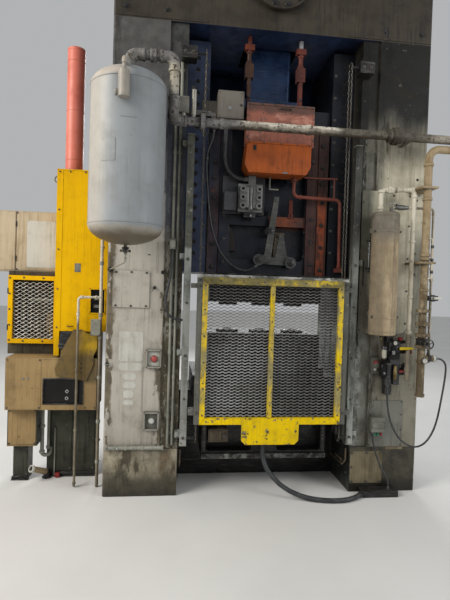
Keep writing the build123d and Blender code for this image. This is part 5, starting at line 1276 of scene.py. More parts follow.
def header_trim():
    b = Build()
    b.use("bolt_dark")
    for k in range(8):
        a = math.radians(22.5 + 45 * k)
        for x, s in ((-822, -1), (-778, 1)):
            b.bolt(P(x, -900 + 68 * math.cos(a), 3850 + 68 * math.sin(a)), (s, 0, 0), 0.010, False)
    b.use("header")
    for x in (-640, 250):
        collar(b, (x, -900, 3850), (1, 0, 0), 52, 60, 28)
    collar(b, (1128, -900, 3850), (1, 0, 0), 60, 20, 28)
    collar(b, (1272, -900, 3850), (1, 0, 0), 60, 22, 28)
    for x in (1186, 1198, 1210, 1222, 1234):
        b.ring(P(x, -900, 3850), (1, 0, 0), 0.0855, 0.004, 40, 6)
    # screwed elbows and a union on the pipe from the tank
    ty, tz, leg = -1150, 4342, -1090
    for path in (
        [(-1500, ty, tz - 122), (-1500, ty, tz), (-1378, ty, tz)],
        [(leg - 122, ty, tz), (leg, ty, tz), (leg, ty, tz - 122)],
        [(leg, ty, 3972), (leg, ty, 3850), (leg, -1028, 3850)],
        [(leg, -1022, 3850), (leg, -900, 3850), (leg + 122, -900, 3850)],
    ):
        b.tube(arc_path([P(*p) for p in path], 0.105, 10), 0.0515, 28)
    for p, axis in (
        ((-1500, ty, tz - 136), (0, 0, 1)), ((-1390, ty, tz), (1, 0, 0)), ((leg - 136, ty, tz), (1, 0, 0)),
        ((leg, ty, tz - 136), (0, 0, 1)), ((leg, ty, 3956), (0, 0, 1)), ((leg, -1040, 3850), (0, 1, 0)),
        ((leg + 106, -900, 3850), (1, 0, 0)),
    ):
        collar(b, p, axis, 57, 28, 28)
    collar(b, (-1318, ty, tz), (1, 0, 0), 60, 26, 28)
    hexnut(b, (-1292, ty, tz), (1, 0, 0), 66, 34)
    # silencer with deep ribs, and a capped stub beside it
    b.use("silencer")
    collar(b, (-992, -900, 3885), (0, 0, 1), 26, 42)
    for k in range(9):
        x = -1036 + k * 11
        b.box(P(x, -940, 3932), P(x + 6, -860, 4080), 0.0018)
    b.box(P(-1036, -930, 3926), P(-942, -870, 3940), 0.002)
    b.box(P(-1036, -930, 4072), P(-942, -870, 4086), 0.002)
    b.box(P(-1034, -922, 3936), P(-944, -878, 4076), 0.002)
    b.use("silencer")
    b.tube([P(-890, -900, 3885), P(-890, -900, 4170)], 0.023, 18)
    collar(b, (-890, -900, 3905), (0, 0, 1), 27, 34)
    b.use("dark_iron")
    hexnut(b, (-890, -900, 4160), (0, 0, 1), 27, 34)
    # bolt that hangs under the flange
    b.use("bolt")
    b.tube([P(-795, -936, 3800), P(-795, -936, 3700)], 0.007, 8)
    hexnut(b, (-795, -936, 3738), (0, 0, -1), 15, 14)
    b.done("header_fittings", slot="pipe_paint")


def gib_trim():
    b = Build().use("bolt_dark")
    for x in (-835, 835):
        for k in range(18):
            socket_screw(b, P(x, -356, 2587 + 125 * k), (0, -1, 0), 0.0235, 0.038)
    b.use("bolt")
    for x in (-728, 728):
        for k in range(9):
            b.bolt(P(x, -399, 2650 + 250 * k), (0, -1, 0), 0.013, True)
    b.done("gib_screws", slot="dark_iron")


def slide_trim():
    b = Build().use("bolt_dark")
    for s in (-1, 1):
        for k, z in enumerate((2450, 2705, 2960, 3215, 3430, 3609, 3860)):
            if s < 0 and z > 3800:
                continue
            socket_screw(b, P(s * 615, -384, z), (0, -1, 0), 0.021, 0.020)
            socket_screw(b, P(s * 500, -384, z + 60), (0, -1, 0), 0.018, 0.008 if s < 0 else 0.016)
    # cap bolts round the front bay
    for x in (-455, 455):
        for z in (2600, 2876):
            b.bolt(P(x * 0.965, -349, z), (0, -1, 0), 0.016)
    b.use("bolt")
    for x in (-600, -400, -200, 200, 400, 600):
        b.bolt(P(x, -419, 2340), (0, -1, 0), 0.018)
    b.use("cast_dark")
    b.slab(P(0, -222, 0), (0, -1, 0), [(-0.470, 2.900), (-0.405, 2.905), (-0.372, 2.780), (-0.345, 2.640), (-0.430, 2.630), (-0.468, 2.760)], 0.085, 0.004)
    b.use("cast_brown").slab(P(0, -222, 0), (0, -1, 0), [(0.105, 2.872), (0.215, 2.866), (0.208, 2.760), (0.160, 2.640), (0.165, 2.545), (0.085, 2.545), (0.092, 2.700)], 0.080, 0.004)
    b.lathe(P(150, -300, 2830), (0, -1, 0), [(0.022, 0), (0.022, 0.020), (0.016, 0.024), (0, 0.024)], 18)
    b.use("links")
    b.slab(P(0, -300, 0), (0, -1, 0), [(0.246, 3.035), (0.300, 3.035), (0.292, 3.240), (0.254, 3.240)], 0.030, 0.003)
    b.lathe(P(262, -348, 3054), (0, -1, 0), [(0.030, 0), (0.030, 0.014), (0.024, 0.018), (0.014, 0.018), (0.013, 0.006), (0, 0.006)], 20)
    b.tube([P(20, -300, 2548), P(150, -300, 2552)], 0.012, 10)
    b.done("slide_fittings", body="slide_body", slot="dark_iron")

    b = Build().use("bolt_dark")
    for p in ((8, -455, 2860),):
        b.lathe(P(p[0], -500, p[2]), (0, -1, 0), [(0.030, 0), (0.030, 0.010), (0.024, 0.014), (0, 0.014)], 20)
    for x, z in ((250, 2515), (-110, 2540)):
        b.lathe(P(x, -485, z), (0, -1, 0), [(0.040, 0), (0.040, 0.006), (0.024, 0.010), (0.024, 0.018), (0.018, 0.022), (0, 0.022)], 22)
    b.use("lever")
    b.lathe(P(67, -500, 3205), (0, -1, 0), [(0.018, 0), (0.018, 0.010), (0, 0.012)], 18)
    gland(b, (-150, -470, 2458), (55, 0, 38), 13)
    b.done("lever_pins", body="slide_body", slot="dark_iron")
    b = Build()
    gland(b, (-645, -440, 3940), (0, 0, -1), 13)
    b.use("bolt")
    screws(b, [(-665, -470, 3984), (-625, -470, 3984), (-665, -470, 3954), (-625, -470, 3954)], (0, -1, 0), 6, False)
    b.done("slide_hose_clamp", body="slide_body", slot="dark_iron")


def gate_trim():
    b = Build().use("bolt")
    zs = (905, 1180, 1450, 1720, 1990, 2235)
    screws(b, [(x, -850, z) for x in (-716, 716) for z in zs], (0, -1, 0), 6.5)
    screws(b, [(x, -850, 2286) for x in (-560, -330, -110, 110, 330, 560)], (0, -1, 0), 6.5)
    screws(b, [(-16, -850, z) for z in (1010, 1300, 1590, 1880, 2160)], (0, -1, 0), 5.5)
    # weld beads across the corner joints of the frame
    b.use("gate_yellow")
    for x, z in ((-689, 2250), (689, 2250), (-689, 880), (689, 880)):
        sx, sz = (1 if x > 0 else -1), (1 if z > 1500 else -1)
        b.tube([P(x, -850, z), P(x + sx * 28, -851, z + sz * 35), P(x + sx * 55, -850, z + sz * 70)], 0.0032, 6)
    for z in (2250, 880):
        b.tube([P(-40, -850, z), P(-16, -851, z), P(8, -850, z)], 0.003, 6)
    # shackles where the chains take the gate
    for x in (-770, 770):
        b.use("chrome")
        b.ring(P(x, -775, 2334), (0, 0, 1), 0.019, 0.0035, 28, 8)
        b.use("bolt")
        b.bolt(P(x, -845, 2290), (0, -1, 0), 0.011)
        for z in (930, 2230):
            b.bolt(P(x * 1.0, -845, z), (0, -1, 0), 0.010)
    b.done("gate_fittings", body="gate_body", slot="yellow_paint")


def post_trim():
    b = Build().use("bolt")
    for s in (-1, 1):
        for z in (640, 1500, 2500, 3660):
            b.bolt(P(s * 900, -740, z), (0, -1, 0), 0.012)
            b.bolt(P(s * 960, -720, z), (0, -1, 0), 0.009)
        for z in (1050, 2050, 3050):
            b.bolt(P(s * 900, -740, z), (0, -1, 0), 0.009)
        b.bolt(P(s * 905, -770, 4600), (0, -1, 0), 0.014)
        b.bolt(P(s * 985, -770, 4600), (0, -1, 0), 0.014)
    b.use("galv")
    for s in (-1, 1):
        b.box(P(s * 900 - 39, -744, 3776), P(s * 900 + 39, -656, 3786), 0.002)
        b.box(P(s * 900 - 39, -744, 556), P(s * 900 + 39, -656, 563), 0.002)
    b.done("post_bolts", slot="galvanised")


def bed_trim():
    b = Build()
    b.use("bolt_dark")
    screws(b, [(x, -590, 390) for x in range(-630, 631, 180)], (0, -1, 0), 11)
    screws(b, [(x, -690, 615) for x in (-64, -6)], (0, -1, 0), 8)
    b.use("dark_iron")
    for s in (-1, 1):
        b.box(P(s * 664 - 14, -568, 425), P(s * 664 + 14, -559.5, 985), 0.003)
    b.use("bolt_dark")
    # pads, hooks and a pipe on the inner side of each foot
    for s in (-1, 1):
        for z in (180, 330, 450):
            b.bolt(P(s * 950, -560, z), (-s, 0, 0), 0.016)
            b.bolt(P(s * 950, -330, z), (-s, 0, 0), 0.016)
    b.use("cast_brown")
    for s in (-1, 1):
        b.box(P(s * 950 - 18, -470, 255), P(s * 950 + 18, -250, 305), 0.004)
        b.tube(arc_path([P(s * 925, -600, 470), P(s * 925, -600, 330), P(s * 925, -500, 255), P(s * 925, -120, 250)], 0.03), 0.011, 10)
    b.use("gland")
    hexnut(b, (-35, -650, 551), (0, 0, 1), 42, 22)
    b.use("cast_brown").box(P(-617, -548, 530), P(-400, -409, 674), 0.008, 2)
    b.box(P(-600, -556, 548), P(-470, -547.5, 656), 0.004)
    b.use("bolt")
    screws(b, [(x, -548, z) for x in (-609, -410) for z in (541, 664)], (0, -1, 0), 6)
    b.lathe(P(-438, -547, 602), (0, -1, 0), [(0.026, 0), (0.026, 0.010), (0.018, 0.014), (0, 0.014)], 20)
    b.done("bed_fittings", slot="dark_iron")

    b = Build()
    b.use("bolt_dark")
    # die clamps on the bolster, front and back
    for s in (-1, 1):
        for x in (-560, 560):
            y = s * 440
            b.use("dark_iron").box(P(x - 45, y - 60 if s < 0 else y - 20, 1250), P(x + 45, y + 20 if s < 0 else y + 60, 1300), 0.006)
            b.use("bolt_dark")
            b.bolt(P(x, y + (-30 if s < 0 else 30), 1300), (0, 0, 1), 0.022)
    b.use("die_steel")
    for x in (-390, 0, 390):
        b.lathe(P(x, -100, 1735), (0, 0, 1), [(0.112, 0), (0.112, 0.004), (0.100, 0.010), (0.062, 0.010), (0.058, 0.002), (0.050, 0.0)], 32)
    b.done("die_clamps", slot="machined_steel")


def right_trim():
    b = Build()
    y = -650
    # sheet screws and stop button
    b.use("bolt")
    screws(b, [(x, -656, z) for x in (1170, 1530) for z in (524, 690, 860, 1004)], (0, -1, 0), 7)
    b.use("knob_red").lathe(P(1182, -712, 1442), (0, -1, 0), [(0.014, 0), (0.014, 0.006), (0.031, 0.009), (0.033, 0.015), (0.028, 0.022), (0.014, 0.0245), (0, 0.025)], 26)
    b.use("grey_box").box(P(1145, -709, 1330), P(1219, -704.5, 1496), 0.003)
    b.use("bolt_dark")
    screws(b, [(1152, -709, 1338), (1212, -709, 1338), (1152, -709, 1488), (1212, -709, 1488)], (0, -1, 0), 4, False)
    b.use("lens_white").lathe(P(1182, -708.5, 1376), (0, -1, 0), [(0.016, 0), (0.016, 0.006), (0.012, 0.010), (0, 0.011)], 20)
    # lid of the wiring box
    b.use("grey_box").box(P(1163, -740, 733), P(1301, -734.5, 801), 0.003)
    b.use("bolt_dark")
    screws(b, [(1170, -740, 740), (1294, -740, 740), (1170, -740, 794), (1294, -740, 794)], (0, -1, 0), 4, False)
    gland(b, (1185, -700, 687), (0, 0, -1), 10)
    gland(b, (1368, -740, 64), (0, 0, 1), 10)
    b.done("right_box_lids", slot="grey_box")

    b = Build()
    b.use("green")
    for x in (1205, 1245):
        collar(b, (x, -700, 690), (0, 0, -1), 15, 52)
    b.use("knob_red")
    collar(b, (1278, -700, 690), (0, 0, -1), 15, 46)
    b.use("gland")
    for x in (1205, 1245, 1278):
        collar(b, (x, -700, 688), (0, 0, -1), 18, 10)
    b.done("round_plugs", slot="grey_box")

    b = Build().use("stained")
    b.box(P(957, -654, 95), P(1330, -649.5, 452), 0.003)
    b.use("bolt")
    screws(b, [(x, -654, z) for x in (975, 1312) for z in (115, 275, 434)], (0, -1, 0), 10)
    screws(b, [(1145, -654, z) for z in (115, 434)], (0, -1, 0), 10)
    b.use("stained").box(P(1360, -653, 470), P(1560, -649.5, 500), 0.001)
    b.done("foot_plate", slot="press_paint")

    b = Build().use("sheet")
    pts = []
    r = 0.10
    x0, x1, z0, z1 = 0.985, 1.556, 1.765, 3.330
    pts += [(x0, z0), (x1 - r, z0)]
    for k in range(1, 8):
        a = -math.pi / 2 + math.pi / 2 * k / 8
        pts.append((x1 - r + r * math.cos(a), z0 + r + r * math.sin(a)))
    pts += [(x1, z0 + r), (x1, z1), (x0, z1)]
    b.slab(P(0, -649.5, 0), (0, -1, 0), pts, 0.0055, 0.0012)
    b.use("bolt")
    screws(b, [(x, -655, z) for x in (1345, 1535) for z in (1880, 2240, 2600, 2960, 3290)], (0, -1, 0), 9)
    screws(b, [(1005, -655, z) for z in (1800, 2200, 3200)], (0, -1, 0), 8)
    b.use("bolt_dark").box(P(1019, -657, 2275), P(1033, -654.5, 2563), 0.001)
    b.done("receiver_back_sheet", slot="press_paint")

    b = Build().use("chrome")
    b.tube([P(1072, -680, 2457), P(1077, -680, 2805)], 0.009, 12)
    b.use("gland")
    hexnut(b, (1072, -680, 2440), (0, 0, 1), 19, 26)
    hexnut(b, (1077, -680, 2790), (0, 0, 1), 17, 24)
    b.use("dark_iron")
    b.box(P(1050, -698, 2468), P(1094, -654, 2486), 0.003)
    b.box(P(1055, -696, 2770), P(1099, -654, 2786), 0.003)
    b.use("bolt")
    screws(b, [(1107, -655, z) for z in (2478, 2778)], (0, -1, 0), 8)
    b.done("sensor_rod", slot="galvanised")


def receiver_trim():
    b = Build().use("receiver")
    cx, cy = 1171, -850
    for z in (1805, 3020):
        b.ring(P(cx, cy, z), (0, 0, 1), 0.1412, 0.0032, 64, 6)
    for z in (1960, 2860):
        collar(b, (cx, cy, z - 20), (0, 0, 1), 145, 40, 64)
    b.use("bolt")
    for z in (1960, 2860):
        for x in (-152, 152):
            b.bolt(P(cx + x * 0.93, cy - 55, z), (0, -1, 0), 0.010)
    b.use("dark_iron")
    hexnut(b, (cx, cy, 1772), (0, 0, -1), 24, 26)
    b.use("brass")
    b.lathe(P(cx, cy, 1746), (0, 0, -1), [(0.011, 0), (0.011, 0.030), (0.008, 0.034), (0, 0.034)], 14)
    b.use("receiver")
    b.tube([P(cx + 40, cy - 136, 1850), P(cx + 40, cy - 136, 2975)], 0.0022, 6)
    b.done("receiver_bands", slot="receiver_paint")

    # lever valve and fittings of the receiver's pipes
    b = Build().use("gland")
    b.lathe(P(1240, -834, 3070), (0, 0, 1), [(0.020, 0), (0.024, 0.006), (0.024, 0.020), (0.020, 0.026), (0.020, 0.052)], 6)
    b.lathe(P(1277, -834, 3128.2), (1, 0, 0), [(0.017, 0), (0.023, 0.004), (0.023, 0.030), (0.028, 0.036), (0.028, 0.098), (0.023, 0.104), (0.023, 0.140), (0.017, 0.148)], 16)
    b.use("galv")
    b.slab(P(0, -868, 0), (0, -1, 0), [(1.176, 3.140), (1.290, 3.158), (1.292, 3.172), (1.258, 3.184), (1.178, 3.158)], 0.005)
    b.use("bolt")
    hexnut(b, (1286, -858, 3164), (0, -1, 0), 13, 14)
    b.use("gland")
    b.tube([P(1286, -834, 3150), P(1286, -862, 3164)], 0.009, 10)
    b.use("recv_pipes")
    for z in (3090, 3265):
        collar(b, (1108, -850, z), (0, 0, 1), 32, 34)
    for p, a in (((1150, -850, 3300.8), (1, 0, 0.048)), ((1268, -850, 3306.8), (1, 0, 0.048)), ((1440, -850, 3315), (1, 0, 0.048))):
        collar(b, p, a, 31, 30)
    for z in (3268, 2790, 2200, 1720, 1420, 1320):
        collar(b, (1475 + (z - 1300) * 0.0025, -850, z), (0, 0, -1), 31, 36)
    for z in (3085, 2500, 1900, 1580):
        collar(b, (1714 if z > 2000 else 1719, -834, z), (0, 0, -1), 19, 26)
    hexnut(b, (1475.5, -850, 1770), (0, 0, 1), 38, 46)
    hexnut(b, (1717, -834, 2350), (0, 0, 1), 24, 34)
    b.done("receiver_fittings", slot="pipe_paint")


def air_unit_trim():
    b = Build()
    b.use("black_glass").box(P(1288, -855, 1507), P(1384, -839.5, 1650), 0.006, 2)
    b.use("chrome")
    b.box(P(1300, -858, 1560), P(1330, -854.5, 1600), 0.001)
    b.use("lever_yellow")
    b.slab(P(0, -868, 0), (0, -1, 0), [(1.376, 1.612), (1.520, 1.618), (1.530, 1.632), (1.516, 1.644), (1.380, 1.642), (1.366, 1.628)], 0.009, 0.002)
    b.use("bolt_dark")
    b.tube([P(1378, -838, 1628), P(1378, -872, 1628)], 0.008, 10)
    b.use("knob_red")
    b.lathe(P(1505, -800, 1587), (0, -1, 0), [(0.024, 0), (0.030, 0.004), (0.030, 0.030), (0.025, 0.036), (0, 0.037)], 14)
    b.lathe(P(1411, -800, 1706), (0, 0, 1), [(0.022, 0), (0.027, 0.005), (0.027, 0.030), (0.021, 0.036), (0, 0.037)], 14)
    b.box(P(1392, -842, 1362), P(1446, -790, 1388), 0.004)
    b.use("unit")
    b.tube([P(1505, -735, 1587), P(1505, -804, 1587)], 0.017, 12)
    b.box(P(1365, -780, 1560), P(1520, -735, 1612), 0.005)
    b.box(P(1371, -800, 1672), P(1475, -735, 1706), 0.005)
    b.box(P(1360, -800, 1330), P(1475, -735, 1400), 0.005)
    # bowls
    for x, z0 in ((1241, 1506), (1489, 1328)):
        b.use("pale_plastic")
        b.lathe(P(x, -790, z0), (0, 0, 1), [(0.012, 0), (0.022, 0.006), (0.027, 0.022), (0.027, 0.094), (0.024, 0.100)], 22)
        b.use("unit")
        b.lathe(P(x, -790, z0 + 100), (0, 0, 1), [(0.029, 0), (0.033, 0.004), (0.033, 0.026), (0.029, 0.032)], 22)
        b.lathe(P(x, -790, z0), (0, 0, -1), [(0.009, 0), (0.009, 0.012), (0.006, 0.015), (0, 0.015)], 12)
    b.box(P(1262, -806, 1580), P(1300, -776, 1630), 0.003)
    b.box(P(1440, -806, 1400), P(1494, -776, 1450), 0.003)
    for x in (1376, 1290):
        b.use("unit")
        b.lathe(P(x, -790, 1430), (0, 0, 1), [(0.043, 0), (0.046, 0.005), (0.046, 0.026), (0.042, 0.032)], 26)
        b.use("brass")
        b.lathe(P(x, -790, 1231), (0, 0, -1), [(0.010, 0), (0.010, 0.010), (0.007, 0.013), (0, 0.013)], 12)
    b.use("brass")
    b.lathe(P(1344, -846, 1290), (0, 0, 1), [(0.010, 0), (0.016, 0.008), (0.016, 0.040), (0.021, 0.046), (0.021, 0.090), (0.015, 0.098), (0.015, 0.140), (0.009, 0.150)], 6)
    b.use("black_glass").box(P(1197, -838, 1322), P(1252, -770, 1462), 0.005)
    b.use("chrome").lathe(P(1226, -838, 1356), (0, -1, 0), [(0.012, 0), (0.010, 0.006), (0, 0.008)], 16)
    # plugs down the manifold
    b.use("bolt_dark")
    for z in (1140, 1190, 1250, 1715):
        socket_screw(b, P(1330, -730, z), (0, -1, 0), 0.012, 0.008)
    gauge(b, (1330, -840, 1684), 26)
    b.use("bolt")
    screws(b, [(1308, -730, 1115), (1352, -730, 1115), (1308, -730, 1728), (1352, -730, 1728)], (0, -1, 0), 7)
    gland(b, (1290, -790, 1230), (0, 0, -1), 11)
    gland(b, (1760, -900, 1530), (1, 0, 0), 11)
    b.done("air_unit_fittings", slot="dark_iron")


def riser_trim():
    b = Build().use("riser")
    cx, cy = 1600, -900
    for z in (1120, 1480, 2240, 2567, 2611, 3200, 3560):
        collar(b, (cx, cy, z), (0, 0, 1), 50, 34, 30)
    b.use("dark_iron")
    collar(b, (cx, cy, 1648), (0, 0, 1), 62, 96, 8)
    b.lathe(P(cx, cy - 55, 1696), (0, -1, 0), [(0.034, 0), (0.034, 0.040), (0.020, 0.046), (0.020, 0.072), (0.012, 0.074), (0.012, 0.094)], 18)
    b.ring(P(cx, cy - 146, 1696), (0, 1, 0), 0.048, 0.007, 26, 8)
    for k in range(4):
        a = math.pi / 2 * k + 0.4
        b.tube([P(cx, cy - 146, 1696), P(cx + 46 * math.cos(a), cy - 146, 1696 + 46 * math.sin(a))], 0.0045, 6)
    # flange bolts
    b.use("bolt_dark")
    for z in (1640, 1760, 1880, 2020):
        for k in range(6):
            a = math.radians(30 + 60 * k)
            b.bolt(P(cx + 58 * math.cos(a), cy + 58 * math.sin(a), z + 17), (0, 0, 1), 0.009, False)
            b.bolt(P(cx + 58 * math.cos(a), cy + 58 * math.sin(a), z - 17), (0, 0, -1), 0.009, False)
    # clamp plates with U bolts
    for z in (2535, 3325):
        b.use("galv")
        pts = []
        for k in range(13):
            a = math.pi * k / 12
            pts.append(P(cx + 47 * math.cos(math.pi - a), cy - 47 * math.sin(a), z))
        b.tube([P(cx - 47, -805, z)] + pts + [P(cx + 47, -805, z)], 0.006, 8)
        b.use("bolt")
        for x in (-75, 75):
            b.bolt(P(cx + x, -815, z + 110), (0, -1, 0), 0.011)
            b.bolt(P(cx + x, -815, z - 110), (0, -1, 0), 0.011)
    # gauge with its coupling, and the ball valve with a pale lever
    gauge(b, (1608, -948, 1513), 33)
    b.use("brass")
    b.tube([P(1608, -935, 1513), P(1608, -955, 1513)], 0.009, 10)
    b.use("lens_white")
    collar(b, (1728, -900, 1530), (1, 0, 0), 38, 26, 24)
    b.use("dark_iron")
    hexnut(b, (1668, -900, 1530), (1, 0, 0), 46, 34)
    b.use("dark_iron")
    b.lathe(P(1640, -900, 2173), (1, 0, 0), [(0.022, 0), (0.028, 0.004), (0.028, 0.030), (0.036, 0.038), (0.036, 0.082), (0.028, 0.090), (0.028, 0.116), (0.020, 0.122)], 18)
    b.use("white")
    b.slab(P(0, -950, 0), (0, -1, 0), [(1.660, 2.160), (1.770, 2.164), (1.784, 2.176), (1.768, 2.188), (1.662, 2.188)], 0.006, 0.0015)
    b.use("bolt")
    hexnut(b, (1678, -934, 2174), (0, -1, 0), 13, 26)
    b.done("riser_fittings", slot="riser_paint")

    b = Build().use("recv_pipes")
    b.tube([P(1650, -948, 2420), P(1650, -948, 2750)], 0.010, 12)
    b.use("dark_iron")
    for z in (2434, 2560, 2700):
        hexnut(b, (1650, -948, z), (0, 0, 1), 19, 30)
    b.use("recv_pipes")
    b.tube(arc_path([P(1650, -948, 2750), P(1650, -948, 2800), P(1612, -938, 2800)], 0.02), 0.008, 10)
    b.tube(arc_path([P(1650, -948, 2420), P(1650, -948, 2380), P(1612, -938, 2380)], 0.02), 0.008, 10)
    b.done("riser_bypass", slot="pipe_paint")


def sheet_y(z):
    return -357.0 if z <= 1430 else -357.0 + (z - 1430) * 50.0 / 272.0


def leaning(b, points, thick, shift=0.0):
    """A flat plate whose face follows sheet_y, points as X and Z in mm, seen from the front in clockwise order."""
    front = [b.bm.verts.new(P(x, sheet_y(z) + shift, z)) for x, z in points]
    back = [b.bm.verts.new(P(x, sheet_y(z) + shift + thick, z)) for x, z in points]
    faces = [b.bm.faces.new(list(reversed(front))), b.bm.faces.new(back)]
    n = len(points)
    for k in range(n):
        faces.append(b.bm.faces.new((front[k], front[(k + 1) % n], back[(k + 1) % n], back[k])))
    b._mark(faces)


def feeder_trim():
    b = Build()
    # cabinet: doors, hinges, lock, studs and the bare plate
    b.use("cream")
    b.box(P(-2812, -5, 2346), P(-2334, 0.5, 3006), 0.003)
    b.box(P(-3137, -5, 2346), P(-2828, 0.5, 3006), 0.003)
    b.use("bolt_dark")
    for z in (2480, 2870):
        collar(b, (-2820, -6, z - 30), (0, 0, 1), 8, 60, 12)
    b.lathe(P(-2362, -5, 2690), (0, -1, 0), [(0.013, 0), (0.013, 0.006), (0.010, 0.009), (0, 0.010)], 16)
    b.use("bolt")
    screws(b, [(-2811, -5, 2996), (-2809, -5, 2356), (-2345, -5, 2996), (-2345, -5, 2356), (-3126, -5, 2996), (-3126, -5, 2356)], (0, -1, 0), 8)
    b.done("cabinet_doors", slot="cream_paint")
    b = Build()
    bare_plate(b, -2701, -2383, 2381, 2912, -5, mat="white")
    b.done("cabinet_bare_plate", slot="cream_paint")

    b = Build()
    # casing: folded edges, screws, slot lining, handle, lifting ring
    b.use("feeder_yellow")
    b.box(P(-2262, -303, 1690), P(-2252, -299.5, 3450), 0.001)
    b.box(P(-2318, -304, 3438), P(-1725, -299.5, 3450), 0.001)
    b.box(P(-1735, -304, 1690), P(-1725, -299.5, 3440), 0.001)
    b.box(P(-2248, -304, 1690), P(-1738, -299.5, 1704), 0.001)
    for x0, x1, z0, z1 in ((-1945, -1933, 1885, 2165), (-1787, -1775, 1885, 2165), (-1945, -1775, 2153, 2165), (-1945, -1775, 1885, 1897)):
        b.box(P(x0, -306, z0), P(x1, -299.5, z1), 0.0015)
    b.use("bolt")
    screws(b, [(x, -304, z) for x in (-2290, -1750) for z in (1730, 2150, 2580, 3010, 3420)], (0, -1, 0), 6.5)
    screws(b, [(x, -304, 3426) for x in (-2180, -2020, -1870)], (0, -1, 0), 6.5)
    screws(b, [(x, -306, z) for x in (-1939, -1781) for z in (1910, 2025, 2140)], (0, -1, 0), 4, False)
    b.use("black_glass").box(P(-1932.5, -262, 1898), P(-1787.5, -241, 2152), 0.001)
    b.box(P(-1932.5, -299, 1898), P(-1929.5, -242, 2152), 0.0005)
    b.box(P(-1790.5, -299, 1898), P(-1787.5, -242, 2152), 0.0005)
    b.box(P(-1932.5, -299, 2149), P(-1787.5, -242, 2152), 0.0005)
    b.box(P(-1932.5, -299, 1898), P(-1787.5, -242, 1901), 0.0005)
    b.use("galv")
    b.box(P(-1905, -282, 1950), P(-1835, -262, 1985), 0.003)
    b.tube([P(-1900, -275, 2040), P(-1810, -275, 2052)], 0.008, 10)
    b.use("galv").box(P(-2113, -302.5, 2339), P(-2049, -299.5, 2434), 0.001)
    b.use("bolt_dark")
    screws(b, [(x, -302.5, z) for x in (-2105, -2057) for z in (2347, 2426)], (0, -1, 0), 3.5, False)
    pts = [P(-2180 + 64 * k / 8, -302 - 26 * math.sin(math.pi * k / 8), 1745) for k in range(9)]
    b.tube(pts, 0.005, 8)
    b.use("galv")
    b.ring(P(-2344, -150, 3363), (0, 1, 0), 0.034, 0.008, 28, 8)
    b.box(P(-2322, -165, 3345), P(-2316, -135, 3395), 0.002)
    b.done("casing_folds", slot="yellow_paint")

    b = Build()
    # cylinder collars and rod cap
    for z, r, h, mat in ((3450, 112, 34, "dark_iron"), (4816, 99, 34, "red")):
        b.use(mat)
        collar(b, (-2190, -50, z), (0, 0, 1), r, h, 40)
    b.use("bolt")
    for k in range(8):
        a = math.radians(22.5 + 45 * k)
        b.bolt(P(-2190 + 100 * math.cos(a), -50 + 100 * math.sin(a), 3484), (0, 0, 1), 0.010, False)
    b.use("red")
    for z in (3600, 4150, 4700):
        b.ring(P(-2190, -50, z), (0, 0, 1), 0.0975, 0.002, 48, 6)
    b.use("dark_iron")
    b.lathe(P(-2190, -50, 4849), (0, 0, 1), [(0.060, 0), (0.060, 0.012), (0.052, 0.018), (0, 0.018)], 28)
    b.done("cylinder_collars", slot="dark_iron")

    b = Build()
    # chute: flange plate, seam and lower apron
    b.use("dark_iron").box(P(-2246, -292, 1475), P(-2122, -284.5, 1680), 0.002)
    b.use("bolt")
    screws(b, [(x, -292, z) for x in (-2232, -2136) for z in (1490, 1578, 1665)], (0, -1, 0), 7)
    b.use("chute")
    b.box(P(-2120, -289, 1676), P(-1845, -284.5, 1690), 0.002)
    b.box(P(-1857, -289, 1405), P(-1845, -284.5, 1690), 0.002)
    # the sheet itself, leaning out over the console
    leaning(b, [(-2115, 1702), (-2018, 1704), (-1955, 1663), (-1850, 1638), (-1848, 1510), (-1880, 1430), (-2232, 1430), (-2224, 1486), (-2140, 1642)], 5)
    leaning(b, [(-2232, 1430), (-1880, 1430), (-1882, 1345), (-1952, 1151), (-2271, 1212), (-2288, 1285), (-2239, 1376)], 5)
    b.use("dark_iron")
    leaning(b, [(-2238, 1688), (-2123, 1690), (-2222, 1486), (-2262, 1521)], 2, -3)
    b.use("chute").tube([P(-1952, -358, 1153), P(-1880, -358, 1346), P(-1884, -358, 1428)], 0.005, 8)
    b.tube([P(-2115, sheet_y(1702) - 2, 1702), P(-2018, sheet_y(1704) - 2, 1704), P(-1955, sheet_y(1663) - 2, 1663), P(-1850, sheet_y(1638) - 2, 1638)], 0.005, 8)
    b.use("bolt")
    screws(b, [(x, -357.5, 1384) for x in (-2215, -2060, -1900)], (0, -1, 0), 6)
    b.done("chute_flange", slot="pipe_paint")

    b = Build()
